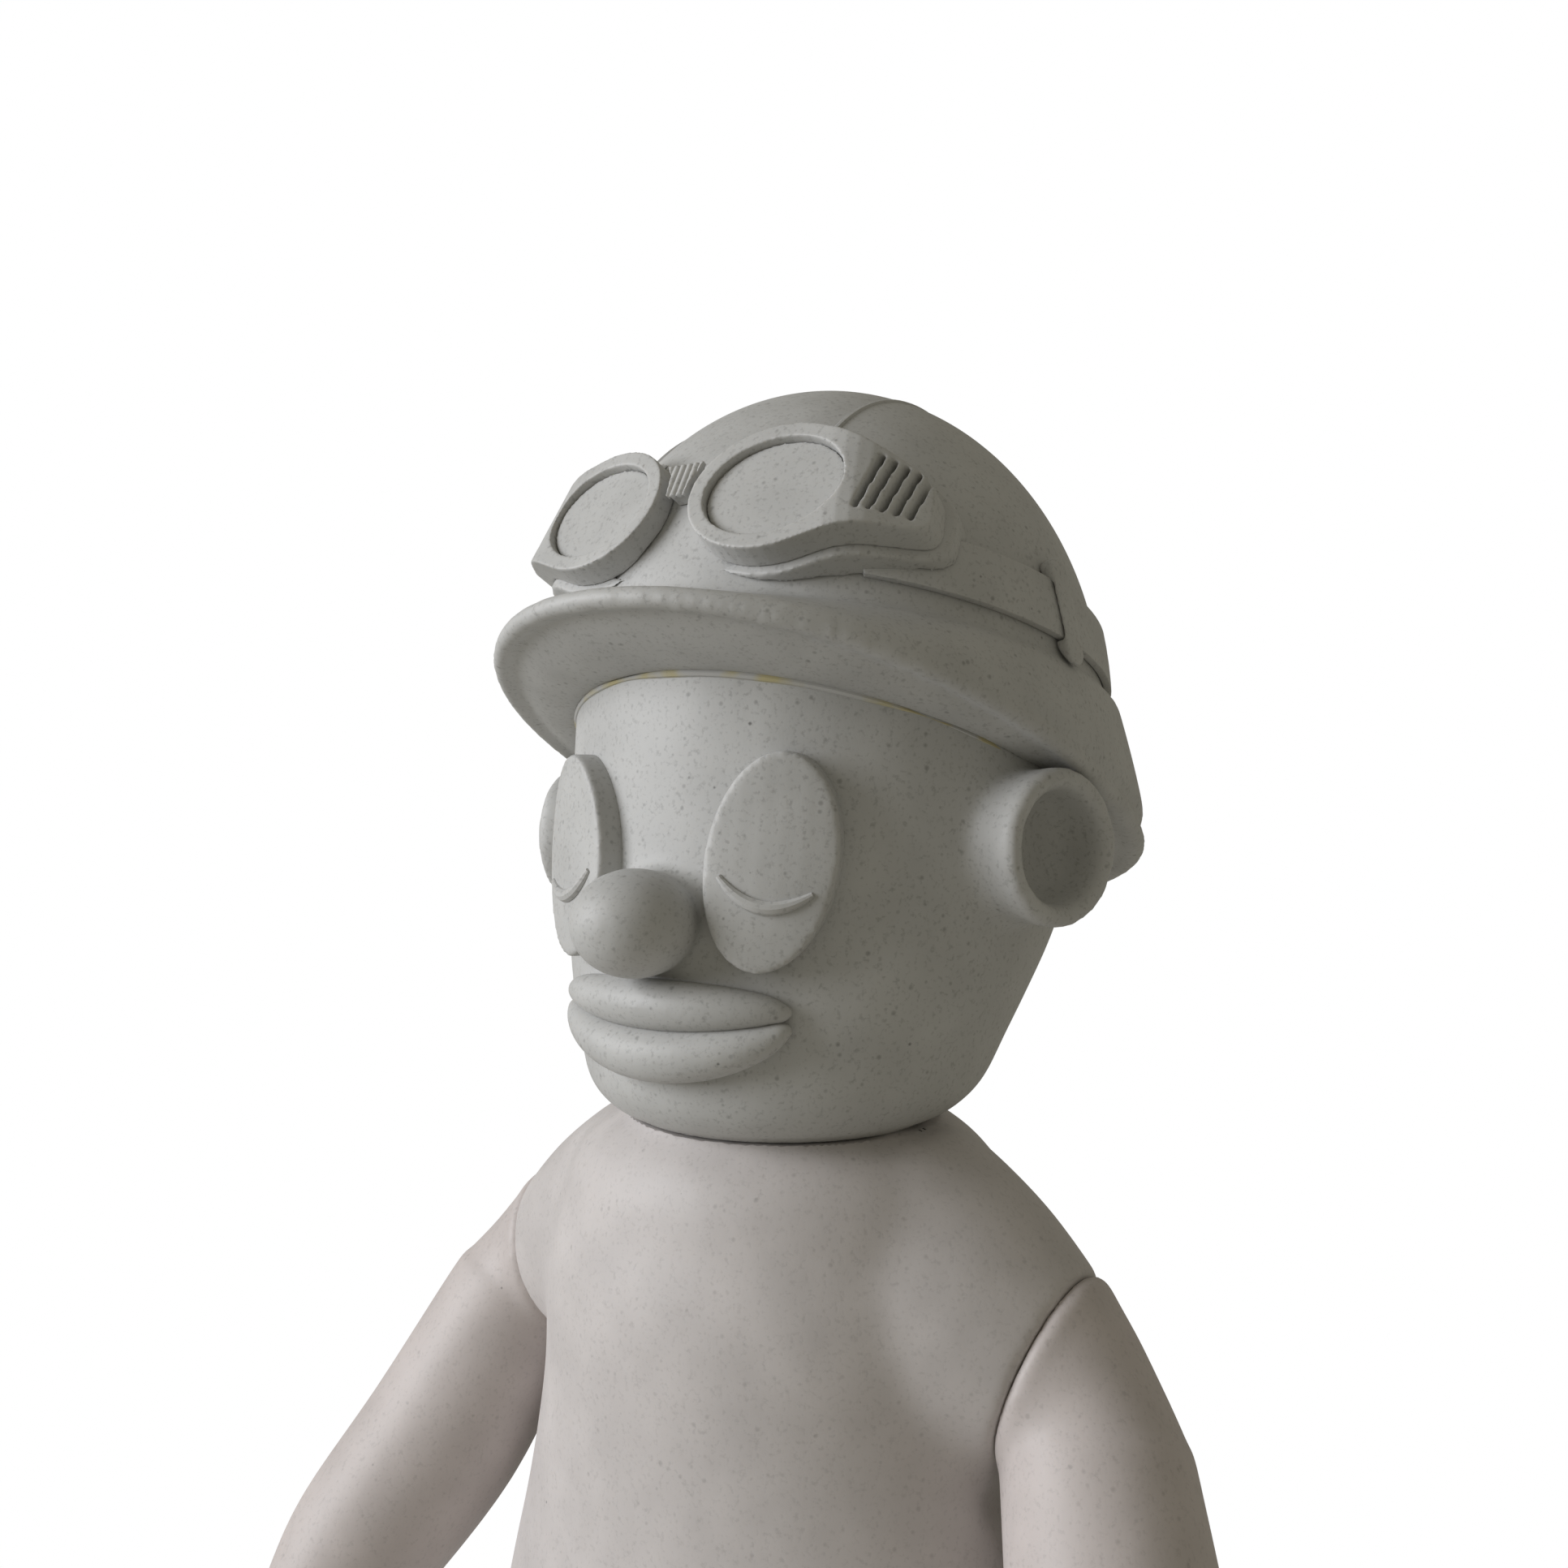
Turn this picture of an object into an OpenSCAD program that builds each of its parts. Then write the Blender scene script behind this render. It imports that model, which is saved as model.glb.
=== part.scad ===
// Hollow vinyl art toy: a standing cartoon figure in a peaked hat with goggles.
// Head, arms and legs are separate hollow castings that turn on flanged plugs.
// The figure faces -Y, its left side is +X, and it stands on Z = 0.

/* [Heights] */
// Height of the leg tops above the ground
leg_height = 56; // [48:1:66]
// Height of the torso between the leg tops and the neck
torso_height = 96; // [86:1:110]
// Height of the widest part of the skull above the neck
crown_height = 51; // [47:1:58]

/* [Torso] */
// Half width of the belly
belly_half_width = 41.5; // [38:1:48]
// Half depth of the belly
belly_half_depth = 32.5; // [29:0.5:38]
// Radius of the flat ring that the head turns on
neck_radius = 19; // [17:0.5:22]

/* [Head and hat] */
// Radius of the skull under the hat
skull_radius = 34; // [31:0.5:38]
// How far the back of the skull sets the head behind the neck axis
skull_setback = 10.5; // [8:0.5:12]
// Height of the skull above its widest part
skull_rise = 40.9; // [37:0.5:46]
// Thickness of the hat's crown
hat_wall = 2.5; // [2:0.1:3.5]
// How far the brim stands out from the crown, on average
brim_reach = 6.8; // [5:0.1:9]
// Extra reach of the peak at the front and of the neck flap at the back
peak_extra = 1.8; // [0:0.1:4]

/* [Arms] */
// Radius of the arm where it meets the shoulder
shoulder_radius = 12; // [11:0.25:13.5]
// Radius of the upper arm and forearm
arm_radius = 11.75; // [10:0.25:12.5]
// How far the shoulder's turning axis points down, in degrees
shoulder_tilt = 20; // [14:1:24]
// Distance of the shoulder joint from the middle of the torso
shoulder_x = 37; // [35:0.5:41]
// Depth of the shoulder joint below the neck ring
shoulder_drop = 25; // [23:0.5:30]

/* [Legs] */
// Radius of the leg at the hip
leg_radius = 16.5; // [14:0.5:18]
// Distance of the hip joint from the middle of the torso
hip_x = 19; // [18:0.5:21]
// How far the toes reach in front of the leg's axis
toe_reach = 52; // [44:1:60]
// How far the heel reaches behind the leg's axis
heel_reach = 15; // [13:0.5:20]

/* [Joints and walls] */
// Thickness of the vinyl walls
wall = 3; // [2.4:0.1:3.6]
// Radius of the neck plug's shaft
neck_plug_radius = 8; // [6:0.25:10]
// Radius of the shoulder and hip plugs' shafts
limb_plug_radius = 5; // [4:0.25:6]
// How far a plug's flange stands out beyond its shaft
flange_lip = 2.6; // [2:0.1:3.5]
// Thickness of a plug's flange
flange_thickness = 2; // [1.4:0.1:3]

/* [Face] */
// Half width of an eye plate
eye_half_width = 7.6; // [6:0.2:9]
// Half height of an eye plate
eye_half_height = 12.4; // [9:0.2:14]
// How far the eye plates stand off the face
eye_relief = 2.6; // [1.6:0.1:4]
// Half width of the mouth
mouth_half_width = 16; // [12:0.5:19]
// Radius of each lip at its fullest
lip_radius = 3; // [2.2:0.1:3.8]
// Radius of the ear's rim
ear_radius = 9.4; // [7:0.2:11]

/* [Goggles] */
// Half width of a goggle lens
lens_half_width = 8.7; // [7:0.1:9.5]
// Half height of a goggle lens
lens_half_height = 6.9; // [5.5:0.1:7.5]
// Width of the rim round a lens
rim_width = 2; // [1.4:0.1:2.6]
// Thickness of the frame
frame_thickness = 3.6; // [2.6:0.1:4.4]
// Width of the elastic strap
strap_width = 6.8; // [5:0.2:8]
// Thickness of the strap
strap_thickness = 1; // [0.6:0.1:1.6]
// Number of vent slots in each side of the frame
vent_count = 5; // [2:1:6]

/* [Hidden] */

// Clearances
turn_gap = 0.3;      // between the faces of parts that turn on each other
shaft_gap = 0.1;     // round a plug's shaft where it turns
glue_gap = 0.02;     // round a plug's shaft where it is fixed
fit_gap = 0.15;      // between trim and the surface that it is glued to

// Places that follow from the sizes above
neck_z = leg_height + torso_height;
shoulder_z = neck_z - shoulder_drop;
crown_z = neck_z + crown_height;
dome_radius = skull_radius + fit_gap + hat_wall;
dome_rise = skull_rise + fit_gap + hat_wall;
shoulder_axis = [cos(shoulder_tilt), 0, -sin(shoulder_tilt)];

// Resolution of the lofted shapes
turn_steps = 36;     // points round the head, hat and torso
limb_steps = 20;     // points round an arm, leg or foot
small_steps = 12;    // points round a finger or lip

vinyl = [0.68, 0.67, 0.65];
vinyl_light = [0.74, 0.73, 0.71];
plug_colour = [0.86, 0.86, 0.84];

// ---------- curves and lofts ----------

function unit(v) = v / norm(v);

// Smooth curve through rows of numbers: s runs from 0 to len(rows) - 1
function blend4(a, b, c, d, t) =
    0.5 * (2 * b + (c - a) * t + (2 * a - 5 * b + 4 * c - d) * t * t
           + (3 * b - a - 3 * c + d) * t * t * t);
function row_at(rows, s) =
    let (last = len(rows) - 1, i = min(floor(s), last - 1))
    blend4(rows[max(i - 1, 0)], rows[i], rows[i + 1], rows[min(i + 2, last)], s - i);

// Ellipse of n points at a height
function level_ring(z, rx, ry, yc, n, xc = 0) =
    [for (i = [0:n - 1]) let (a = 360 * i / n) [xc + rx * cos(a), yc + ry * sin(a), z]];

// Ellipse of n points round a direction
function turned_ring(centre, direction, rx, ry, n) =
    let (u = unit(cross([0, 1, 0], direction)), v = cross(direction, u))
    [for (i = [0:n - 1]) let (a = 360 * i / n) centre + rx * cos(a) * u + ry * sin(a) * v];

// Closed solid through rings that all have the same number of points
module loft(rings) {
    n = len(rings[0]);
    m = len(rings);
    sides = [for (k = [0:m - 2], i = [0:n - 1])
        let (a = k * n + i, b = k * n + (i + 1) % n)
        each [[a, a + n, b + n], [a, b + n, b]]];
    bottom = [for (i = [0:n - 1]) i];
    top = [for (i = [n - 1:-1:0]) (m - 1) * n + i];
    polyhedron([for (r = rings) each r], concat([bottom], sides, [top]), convexity = 8);
}

// Tube along centres and radii, given as rows [x, y, z, radius]
module tube(rows, n, steps, first_direction = undef) {
    last = len(rows) - 1;
    stations = [for (k = [0:steps]) row_at(rows, last * k / steps)];
    function place(k) = [stations[k][0], stations[k][1], stations[k][2]];
    function heading(k) =
        k == 0 && !is_undef(first_direction) ? first_direction
        : unit(place(min(k + 1, steps)) - place(max(k - 1, 0)));
    loft([for (k = [0:steps]) turned_ring(place(k), heading(k), stations[k][3], stations[k][3], n)]);
}

// Ellipsoid with half sizes r, its long way along direction
module blob(centre, direction, side, along, across, n = 16, rings = 8) {
    d = unit(direction);
    u = unit(side - (side * d) * d);
    v = cross(d, u);
    loft([for (k = [0:rings])
        let (a = -84 + 168 * k / rings)
        [for (i = [0:n - 1]) let (b = 360 * i / n)
            centre + along * sin(a) * d + cos(a) * (across[0] * cos(b) * u + across[1] * sin(b) * v)]]);
}

// Moves a part's local Z axis onto the left shoulder's turning axis
module at_left_shoulder() {
    translate([shoulder_x, 0, shoulder_z]) rotate([0, 90 + shoulder_tilt, 0]) children();
}
module at_left_hip() { translate([hip_x, 0, leg_height + turn_gap]) children(); }
module other_side() { mirror([1, 0, 0]) children(); }

// ---------- joints ----------

// Flanged plug with its fixed half above Z = 0 and its turning half below it.
// The turning half passes through one wall, the fixed half through the other.
module joint_plug(shaft) {
    lip = shaft + flange_lip;
    turning = wall + turn_gap;
    color(plug_colour) {
        translate([0, 0, -turning]) cylinder(r = shaft, h = turning + wall + turn_gap);
        translate([0, 0, -turning - flange_thickness]) cylinder(r = lip, h = flange_thickness);
        translate([0, 0, wall + turn_gap]) cylinder(r = lip, h = flange_thickness);
    }
}

module neck_plug() { translate([0, 0, neck_z]) joint_plug(neck_plug_radius); }
module left_shoulder_plug() { at_left_shoulder() joint_plug(limb_plug_radius); }
module right_shoulder_plug() { other_side() left_shoulder_plug(); }
module left_hip_plug() { at_left_hip() mirror([0, 0, 1]) joint_plug(limb_plug_radius); }
module right_hip_plug() { other_side() left_hip_plug(); }

// ---------- torso ----------

// Rows [share of the torso's height, half width and half depth as shares of the belly's]
torso_rows = [[0, 0.845, 0.78], [0.09, 0.95, 0.94], [0.21, 1, 1], [0.36, 0.935, 0.95],
              [0.5, 0.855, 0.9], [0.66, 0.79, 0.87], [0.79, 0.795, 0.85], [0.88, 0.74, 0.79]];
torso_steps = 14;

function torso_ring(s, inset) =
    let (row = row_at(torso_rows, s),
         z = leg_height + turn_gap + (torso_height - turn_gap) * row[0])
    level_ring(z, belly_half_width * row[1] - inset, belly_half_depth * row[2] - inset, 0, turn_steps);

// The last rings round over from the shoulders to the flat neck ring
function neck_ring(share, inset) =
    let (rx = belly_half_width * 0.74, ry = belly_half_depth * 0.79,
         out = pow(cos(90 * share), 1.35), up = sin(90 * share))
    level_ring(leg_height + torso_height * (0.88 + 0.12 * up) - inset * up,
               neck_radius + (rx - neck_radius) * out - inset,
               neck_radius + (ry - neck_radius) * out - inset, 0, turn_steps);

module torso_body(inset) {
    last = len(torso_rows) - 1;
    loft(concat(
        [for (k = [0:torso_steps]) let (r = torso_ring(last * k / torso_steps, inset))
            k == 0 ? [for (p = r) p + [0, 0, inset]] : r],
        [for (share = [0.35, 0.65, 0.88, 1]) neck_ring(share, inset)]));
}

module torso_shell() {
    stub_depth = 15;
    shoulder_flat = 4.5;
    color(vinyl) difference() {
        union() {
            torso_body(0);
            for (side = [0, 1]) mirror([side, 0, 0]) {
                at_left_shoulder() {
                    translate([0, 0, -stub_depth])
                        cylinder(r1 = shoulder_radius + 4, r2 = shoulder_radius + 3.3, h = stub_depth - 7, $fn = 48);
                    translate([0, 0, -7]) cylinder(r1 = shoulder_radius + 3.3, r2 = shoulder_radius, h = 7, $fn = 48);
                }
                translate([hip_x, 0, leg_height + turn_gap])
                    cylinder(r = leg_radius, h = wall + 6, $fn = 48);
            }
        }
        torso_body(wall);
        for (side = [0, 1]) mirror([side, 0, 0]) {
            // Flat round the shoulder, so that the arm can turn past the chest
            at_left_shoulder()
                cylinder(r1 = shoulder_radius + shoulder_flat, r2 = shoulder_radius + shoulder_flat + 20, h = 20,
                         $fn = 48);
            at_left_shoulder() {
                translate([0, 0, -stub_depth - 6])
                    cylinder(r = shoulder_radius - wall, h = stub_depth + 6 - wall, $fn = 48);
                translate([0, 0, -stub_depth]) cylinder(r = limb_plug_radius + shaft_gap, h = stub_depth + 1);
            }
            translate([hip_x, 0, leg_height]) {
                translate([0, 0, turn_gap + wall])
                    cylinder(r = limb_plug_radius + flange_lip + 1.4, h = 9, $fn = 48);
                translate([0, 0, -1]) cylinder(r = limb_plug_radius + shaft_gap, h = wall + 4);
            }
        }
        translate([0, 0, neck_z - wall - 1]) cylinder(r = neck_plug_radius + shaft_gap, h = wall + 2);
    }
}

// ---------- head ----------

// Rows [share of the crown's height, radius as a share of the skull's, setback as a share]
head_rows = [[0, 0.56, 0], [0.025, 0.655, 0], [0.09, 0.75, 0.06], [0.2, 0.815, 0.2], [0.32, 0.88, 0.38],
             [0.44, 0.935, 0.58], [0.6, 0.985, 0.8], [0.78, 1.003, 0.94], [1, 1, 1]];
head_steps = 14;
skull_steps = 7;

function head_ring(s, grow) =
    let (row = row_at(head_rows, s))
    level_ring(neck_z + turn_gap + (crown_height - turn_gap) * row[0],
               skull_radius * row[1] + grow, skull_radius * row[1] + grow,
               skull_setback * row[2], turn_steps);

function skull_ring(angle, grow) =
    level_ring(crown_z + (skull_rise + grow) * sin(angle),
               (skull_radius + grow) * cos(angle), (skull_radius + grow) * cos(angle),
               skull_setback, turn_steps);

// Head without ears and nose. A negative grow gives the inside of the wall.
module head_body(grow) {
    last = len(head_rows) - 1;
    loft(concat(
        [for (k = [0:head_steps]) let (r = head_ring(last * k / head_steps, grow))
            k == 0 ? [for (p = r) p - [0, 0, grow]] : r],
        [for (k = [1:skull_steps]) skull_ring(84 * k / skull_steps, grow)]));
}

// Slice of the face between two shares of the crown's height, for fitting the face trim to
module face_slice(from, to, grow) {
    last = len(head_rows) - 1;
    steps = 7;
    loft([for (k = [0:steps]) head_ring(from + (to - from) * k / steps, grow)]);
}

// Where the face trim sits
nose_z = neck_z + crown_height * 0.515;
nose_y = skull_setback * 0.7 - skull_radius * 0.963 - 5.1;
ear_z = neck_z + crown_height * 0.68;
ear_turn = 17;       // the ears face a little forwards, in degrees
ear_depth = 6.5;     // how far the rim stands out from the skull

module left_ear() {
    rim = 2.6;
    cup = ear_radius - rim;
    translate([skull_radius * 0.94, 2.5, ear_z]) rotate([0, 90, -ear_turn])
        rotate_extrude($fn = 48)
            polygon(concat(
                [[0, -9], [ear_radius - 3, -9], [ear_radius - 1.6, 0]],
                [for (a = [-20:25:180]) [ear_radius - rim / 2 + rim / 2 * cos(a), ear_depth + rim / 2 * sin(a)]],
                [[cup - 0.4, 4], [cup * 0.75, 2], [cup * 0.4, 1.1], [0, 0.8]]));
}

module head_shell() {
    color(vinyl) difference() {
        union() {
            head_body(0);
            blob([0, nose_y + 2.5, nose_z], [0, -1, 0], [1, 0, 0], 9, [7.4, 6], 20, 8);
            left_ear();
            other_side() left_ear();
        }
        head_body(-wall);
        translate([0, 0, neck_z - 1]) cylinder(r = neck_plug_radius + glue_gap, h = wall + 4);
    }
}

// ---------- face trim ----------

eye_turn = 24;       // how far round the face each eye sits, in degrees
eye_lean = 10;       // how far the top of each eye leans outwards, in degrees
eye_z = neck_z + crown_height * 0.655;

function oval(rx, ry, n) = [for (i = [0:n - 1]) let (a = 360 * i / n) [rx * cos(a), ry * sin(a)]];

module at_left_eye() {
    translate([0, skull_setback * 0.9, eye_z]) rotate([90, 0, eye_turn]) rotate([0, 0, -eye_lean]) children();
}

module left_eye_plate() {
    color(vinyl_light) difference() {
        intersection() {
            at_left_eye() translate([0, 0, 20]) linear_extrude(40)
                polygon(oval(eye_half_width, eye_half_height, 40));
            face_slice(2, 8, eye_relief);
        }
        face_slice(1.8, 8, fit_gap);
    }
}
module right_eye_plate() { other_side() left_eye_plate(); }

// Raised closed-lid line, lying on the eye plate
module left_eye_lid() {
    reach = eye_half_width - 2.2;
    stand = skull_radius + eye_relief + 0.3;
    color(vinyl_light) difference() {
        at_left_eye() tube([for (a = [-1:0.5:1])
            [reach * a, -3 - 2.4 * (1 - a * a), stand - reach * reach * a * a / 2 / stand,
             0.5 + 0.35 * (1 - a * a)]],
            small_steps, 8);
        face_slice(2, 8, eye_relief + 0.05);
    }
}
module right_eye_lid() { other_side() left_eye_lid(); }

mouth_z = neck_z + crown_height * 0.275;

// One lip: a soft roll that follows the front of the face, turned up at the corners
module lip(level, radius) {
    follow = skull_radius * 0.87;
    last = 4;
    color(vinyl_light) difference() {
        tube([for (k = [-last:last])
            let (share = k / last, a = asin(mouth_half_width * share / follow),
                 fullness = sqrt(1 - 0.86 * share * share))
            [follow * sin(a) * 1.02, skull_setback * 0.33 - follow * cos(a) - 0.4,
             mouth_z + level * fullness + 1.6 * share * share, radius * fullness]],
            small_steps + 4, 16);
        face_slice(0.9, 6.3, fit_gap);
    }
}
module upper_lip() { lip(lip_radius * 0.92, lip_radius); }
module lower_lip() {
    difference() {
        lip(-lip_radius * 0.98, lip_radius * 1.06);
        lip(lip_radius * 0.92, lip_radius + fit_gap);
    }
}

// ---------- hat ----------

hat_steps = 48;
brim_y = skull_setback - 2.5;

// Shares of the way down from the front of the hat to its back
function back_share(a) = (1 - cos(a)) / 2;
// Lower edge at the skull, edge of the brim and foot of the crown, at angle a from the front
function rim_z(a) = crown_z + 4 - 27 * back_share(a);
function edge_z(a) = crown_z + 12.5 - 38 * back_share(a);
function fold_z(a) = crown_z + 12.5 - 16 * back_share(a);
function ease(t) = let (u = min(max(t, 0), 1)) u * u * (3 - 2 * u);
function edge_r(a) =
    let (round = abs(a > 180 ? a - 360 : a),
         swing = round < 90 ? cos(2 * round) : 2 * ease((round - 90) / 48) - 1)
    dome_radius + brim_reach - 1.4 + peak_extra * (0.35 + 1.4 * swing);

// Point at angle a from the front, round a centre at y = yc
function about(a, r, yc, z) = [r * sin(a), yc - r * cos(a), z];
function hat_angle(i) = 360 * i / hat_steps;

// Ring of the hat: r, yc and z are worked out for each angle. grow makes the outside larger.
function hat_level(kind, share, grow) =
    [for (i = [0:hat_steps - 1])
        let (a = hat_angle(i), edge = edge_r(a), in = skull_radius - 4, zr = rim_z(a), ze = edge_z(a), zf = fold_z(a))
        kind == "rim" ? about(a, in, skull_setback, zr)
        : kind == "under" ? about(a, skull_radius + (edge - 1.4 - skull_radius) * share, brim_y + (1 - share) * 2.5,
                                  zr + (ze - 2.2 - zr) * pow(share, 1.35))
        : kind == "edge" ? about(a, edge + grow - 1.1 + 1.1 * cos(share), brim_y, ze + grow - 1.1 + 1.1 * sin(share))
        : kind == "top" ? about(a, edge + grow + (dome_radius + 1 - edge) * share, brim_y + 2.5 * share,
                                ze + grow + (zf - ze) * pow(share, 0.8))
        : about(a, (dome_radius + grow) * cos(dome_angle(a, share)), skull_setback,
                crown_z + (dome_rise + grow) * sin(dome_angle(a, share)))];
function dome_angle(a, share) =
    let (start = asin((fold_z(a) + 1.5 - crown_z) / dome_rise)) start + (86 - start) * share;

module hat_body(grow) {
    loft(concat(
        [hat_level("rim", 0, grow)],
        [for (s = [0.12, 0.4, 0.7, 0.95]) hat_level("under", s, grow)],
        [for (s = [-60, 0, 60]) hat_level("edge", s, grow)],
        [for (s = [0.12, 0.5, 0.85]) hat_level("top", s, grow)],
        [for (k = [0:9]) hat_level("dome", k / 9, grow)]));
}

module hat_shell() {
    color(vinyl) difference() {
        hat_body(0);
        head_body(fit_gap);
        for (side = [0, 1]) mirror([side, 0, 0])
            translate([skull_radius * 0.94, 2.5, ear_z]) rotate([0, 90, -ear_turn])
                translate([0, 0, -9]) cylinder(r = ear_radius + 0.25, h = 24, $fn = 48);
    }
}

// ---------- goggle strap ----------

strap_segments = 41;
function strap_z(a) = crown_z + 19.8 - 19 * back_share(a);

function dome_r_at(z) = dome_radius * sqrt(1 - pow((z - crown_z) / dome_rise, 2));

// Cross-section of the strap at angle a: corners [height, distance from the crown]
function strap_section(a, corners) =
    let (z = strap_z(a))
    [for (p = corners) about(a, dome_r_at(z + p[0]) + 1.6 * fit_gap + p[1], skull_setback, z + p[0])];

module goggle_strap() {
    half = strap_width / 2;
    t = strap_thickness;
    color(vinyl) loft([for (k = [0:strap_segments])
        strap_section(strap_start + (360 - 2 * strap_start) * k / strap_segments,
            [[half, 0], [half, 0.8 * t], [half - 0.3, t], [-half + 0.3, t], [-half, 0.8 * t], [-half, 0], [0, 0]])]);
}

// Room for the strap between two angles
module strap_space(from, to) {
    half = strap_width / 2 + fit_gap;
    t = strap_thickness + fit_gap;
    loft([for (k = [0:6]) strap_section(from + (to - from) * k / 6, [[half, -1], [half, t], [-half, t], [-half, -1]])]);
}

// Upright tab that holds the strap to the side of the hat
keeper_angle = 84;
module left_strap_keeper() {
    z = strap_z(keeper_angle);
    lean = asin((z - crown_z) / dome_rise) * dome_radius / dome_rise;
    color(vinyl) difference() {
        translate(about(keeper_angle, dome_r_at(z), skull_setback, z))
            rotate([90 - lean, 0, keeper_angle])
                hull() for (y = [-1, 1]) translate([0, y * (strap_width / 2 + 1.6), -2])
                    cylinder(r = 1.8, h = 2 + fit_gap + strap_thickness + 0.5, $fn = 24);
        hat_body(fit_gap);
        strap_space(keeper_angle - 9, keeper_angle + 9);
    }
}
module right_strap_keeper() { other_side() left_strap_keeper(); }

// ---------- goggles ----------

lens_x = 13;
lens_z = crown_z + dome_rise * 0.556;
lens_stand = 2.95;   // from the crown out to the lens's middle plane
lens_y = skull_setback - sqrt(pow(dome_r_at(lens_z) + lens_stand, 2) - lens_x * lens_x);
lens_turn = 8;       // how far the lenses face outwards, in degrees
lens_tilt = 29;      // how far the lenses lean back, in degrees
lens_roll = 5;       // how far the outer end of each lens is lifted, in degrees
rim_front = 1.2;     // front of the rim, in front of the lens's middle plane
temple_x = 17.2;     // outer end of the frame's side panel
temple_drop = 7;     // how far the side panel falls back

// Angle from the front at which the strap leaves the goggles' cushions
strap_start = asin((lens_x + temple_x * cos(lens_turn) - 3.75) / (dome_r_at(strap_z(57)) + fit_gap));

module at_left_lens() {
    translate([lens_x, lens_y, lens_z]) rotate([90 - lens_tilt, 0, lens_turn]) rotate([0, 0, lens_roll]) children();
}

// Outline of a goggle seen from the front, with its side panel
module goggle_outline(grow) {
    hull() {
        polygon(oval(lens_half_width + rim_width + grow, lens_half_height + rim_width + grow, 40));
        for (y = [0.4, -2.8]) translate([temple_x - 2.8, y]) circle(r = 2.8 + grow, $fn = 24);
    }
}

// Line that runs flat across the lens, then rounds a bend and falls back along the temple
function fold_line(front, bend) =
    let (round = 2.8, fall = temple_drop + 1.6, slope = fall / (temple_x + 2 - bend))
    [[-14, front], for (t = [0:0.25:1]) [bend + round * (2 * t - 1), front - slope * round * t * t],
     [temple_x + 2, front - fall]];

// Slab between two such lines
module goggle_slab(front, depth, bend) {
    back = fold_line(front - depth, bend - 1.6);
    rotate([90, 0, 0]) linear_extrude(40, center = true)
        polygon(concat(fold_line(front, bend), [for (i = [len(back) - 1:-1:0]) back[i]]));
}

module left_goggle_frame() {
    vent_pitch = 5.8 / vent_count;
    color(vinyl_light) difference() {
        at_left_lens() difference() {
            intersection() {
                translate([0, 0, -20]) linear_extrude(24) goggle_outline(0);
                goggle_slab(rim_front, frame_thickness, lens_half_width + 1.2);
            }
            translate([0, 0, -1.2]) linear_extrude(8) polygon(oval(lens_half_width, lens_half_height, 40));
            translate([0, 0, -9]) linear_extrude(10) polygon(oval(lens_half_width - 1, lens_half_height - 1, 40));
            for (k = [0:vent_count - 1])
                translate([lens_half_width + 2.1 + vent_pitch * (k + 0.35), -0.6 - 0.4 * k / vent_count, -8])
                    rotate([0, 0, -14]) cube([0.55 * vent_pitch, 8.4 - 2 * k / vent_count, 24], center = true);
        }
        hat_body(fit_gap);
        strap_space(strap_start - 0.5, strap_start + 24);
    }
}
module right_goggle_frame() { other_side() left_goggle_frame(); }

module left_goggle_cushion() {
    color(vinyl) difference() {
        at_left_lens() difference() {
            intersection() {
                translate([0, 0, -24]) linear_extrude(28) goggle_outline(1.1);
                goggle_slab(rim_front - frame_thickness - 0.02, 9, lens_half_width - 0.4);
            }
            translate([0, 0, -30]) linear_extrude(40) polygon(oval(lens_half_width - 1.4, lens_half_height - 1.4, 40));
        }
        hat_body(fit_gap);
        strap_space(strap_start - 0.5, strap_start + 24);
    }
}
module right_goggle_cushion() { other_side() left_goggle_cushion(); }

module left_goggle_lens() {
    color(vinyl_light) at_left_lens() translate([0, 0, -1.18])
        linear_extrude(1.4) polygon(oval(lens_half_width - 0.08, lens_half_height - 0.08, 40));
}
module right_goggle_lens() { other_side() left_goggle_lens(); }

// Ribbed link between the two frames
module goggle_bridge() {
    ribs = 6;
    link_z = lens_z + 2.6;
    half = 2.9;
    color(vinyl_light) difference() {
        translate([0, lens_y - 0.8, link_z]) rotate([90 - lens_tilt, 0, 0]) {
            translate([-half, -1.9, -3]) cube([2 * half, 3.8, 2.9]);
            for (k = [0:ribs - 1]) translate([-half + (k + 0.5) * 2 * half / ribs, -2.3, -0.1])
                rotate([-90, 0, 0]) cylinder(r = 0.42, h = 4.6, $fn = 16);
        }
        hat_body(fit_gap);
        for (side = [0, 1]) mirror([side, 0, 0]) at_left_lens()
            translate([0, 0, -12]) linear_extrude(20)
                polygon(oval(lens_half_width + rim_width + 1.16, lens_half_height + rim_width + 1.16, 40));
    }
}

// ---------- arms ----------

// The arm rounds the shoulder, then runs down to these places, as offsets from the shoulder joint
shoulder_bend = 1.5;   // how far the bend's pivot lies outside the shoulder's rim
upper_way = unit([0.26, -0.48, -0.83]);
elbow = [13.9, -12.2, -26];
forearm = [18.5, -23, -39];
wrist = [20.5, -30.2, -47.5];
wrist_radius = 8.4;

shoulder = [shoulder_x, 0, shoulder_z];
hand_way = unit(wrist - forearm);
palm_way = unit([-1, 0, 0] + hand_way[0] * hand_way);
thumb_way = cross(palm_way, hand_way);
palm = shoulder + wrist + 6.5 * hand_way;

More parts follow.
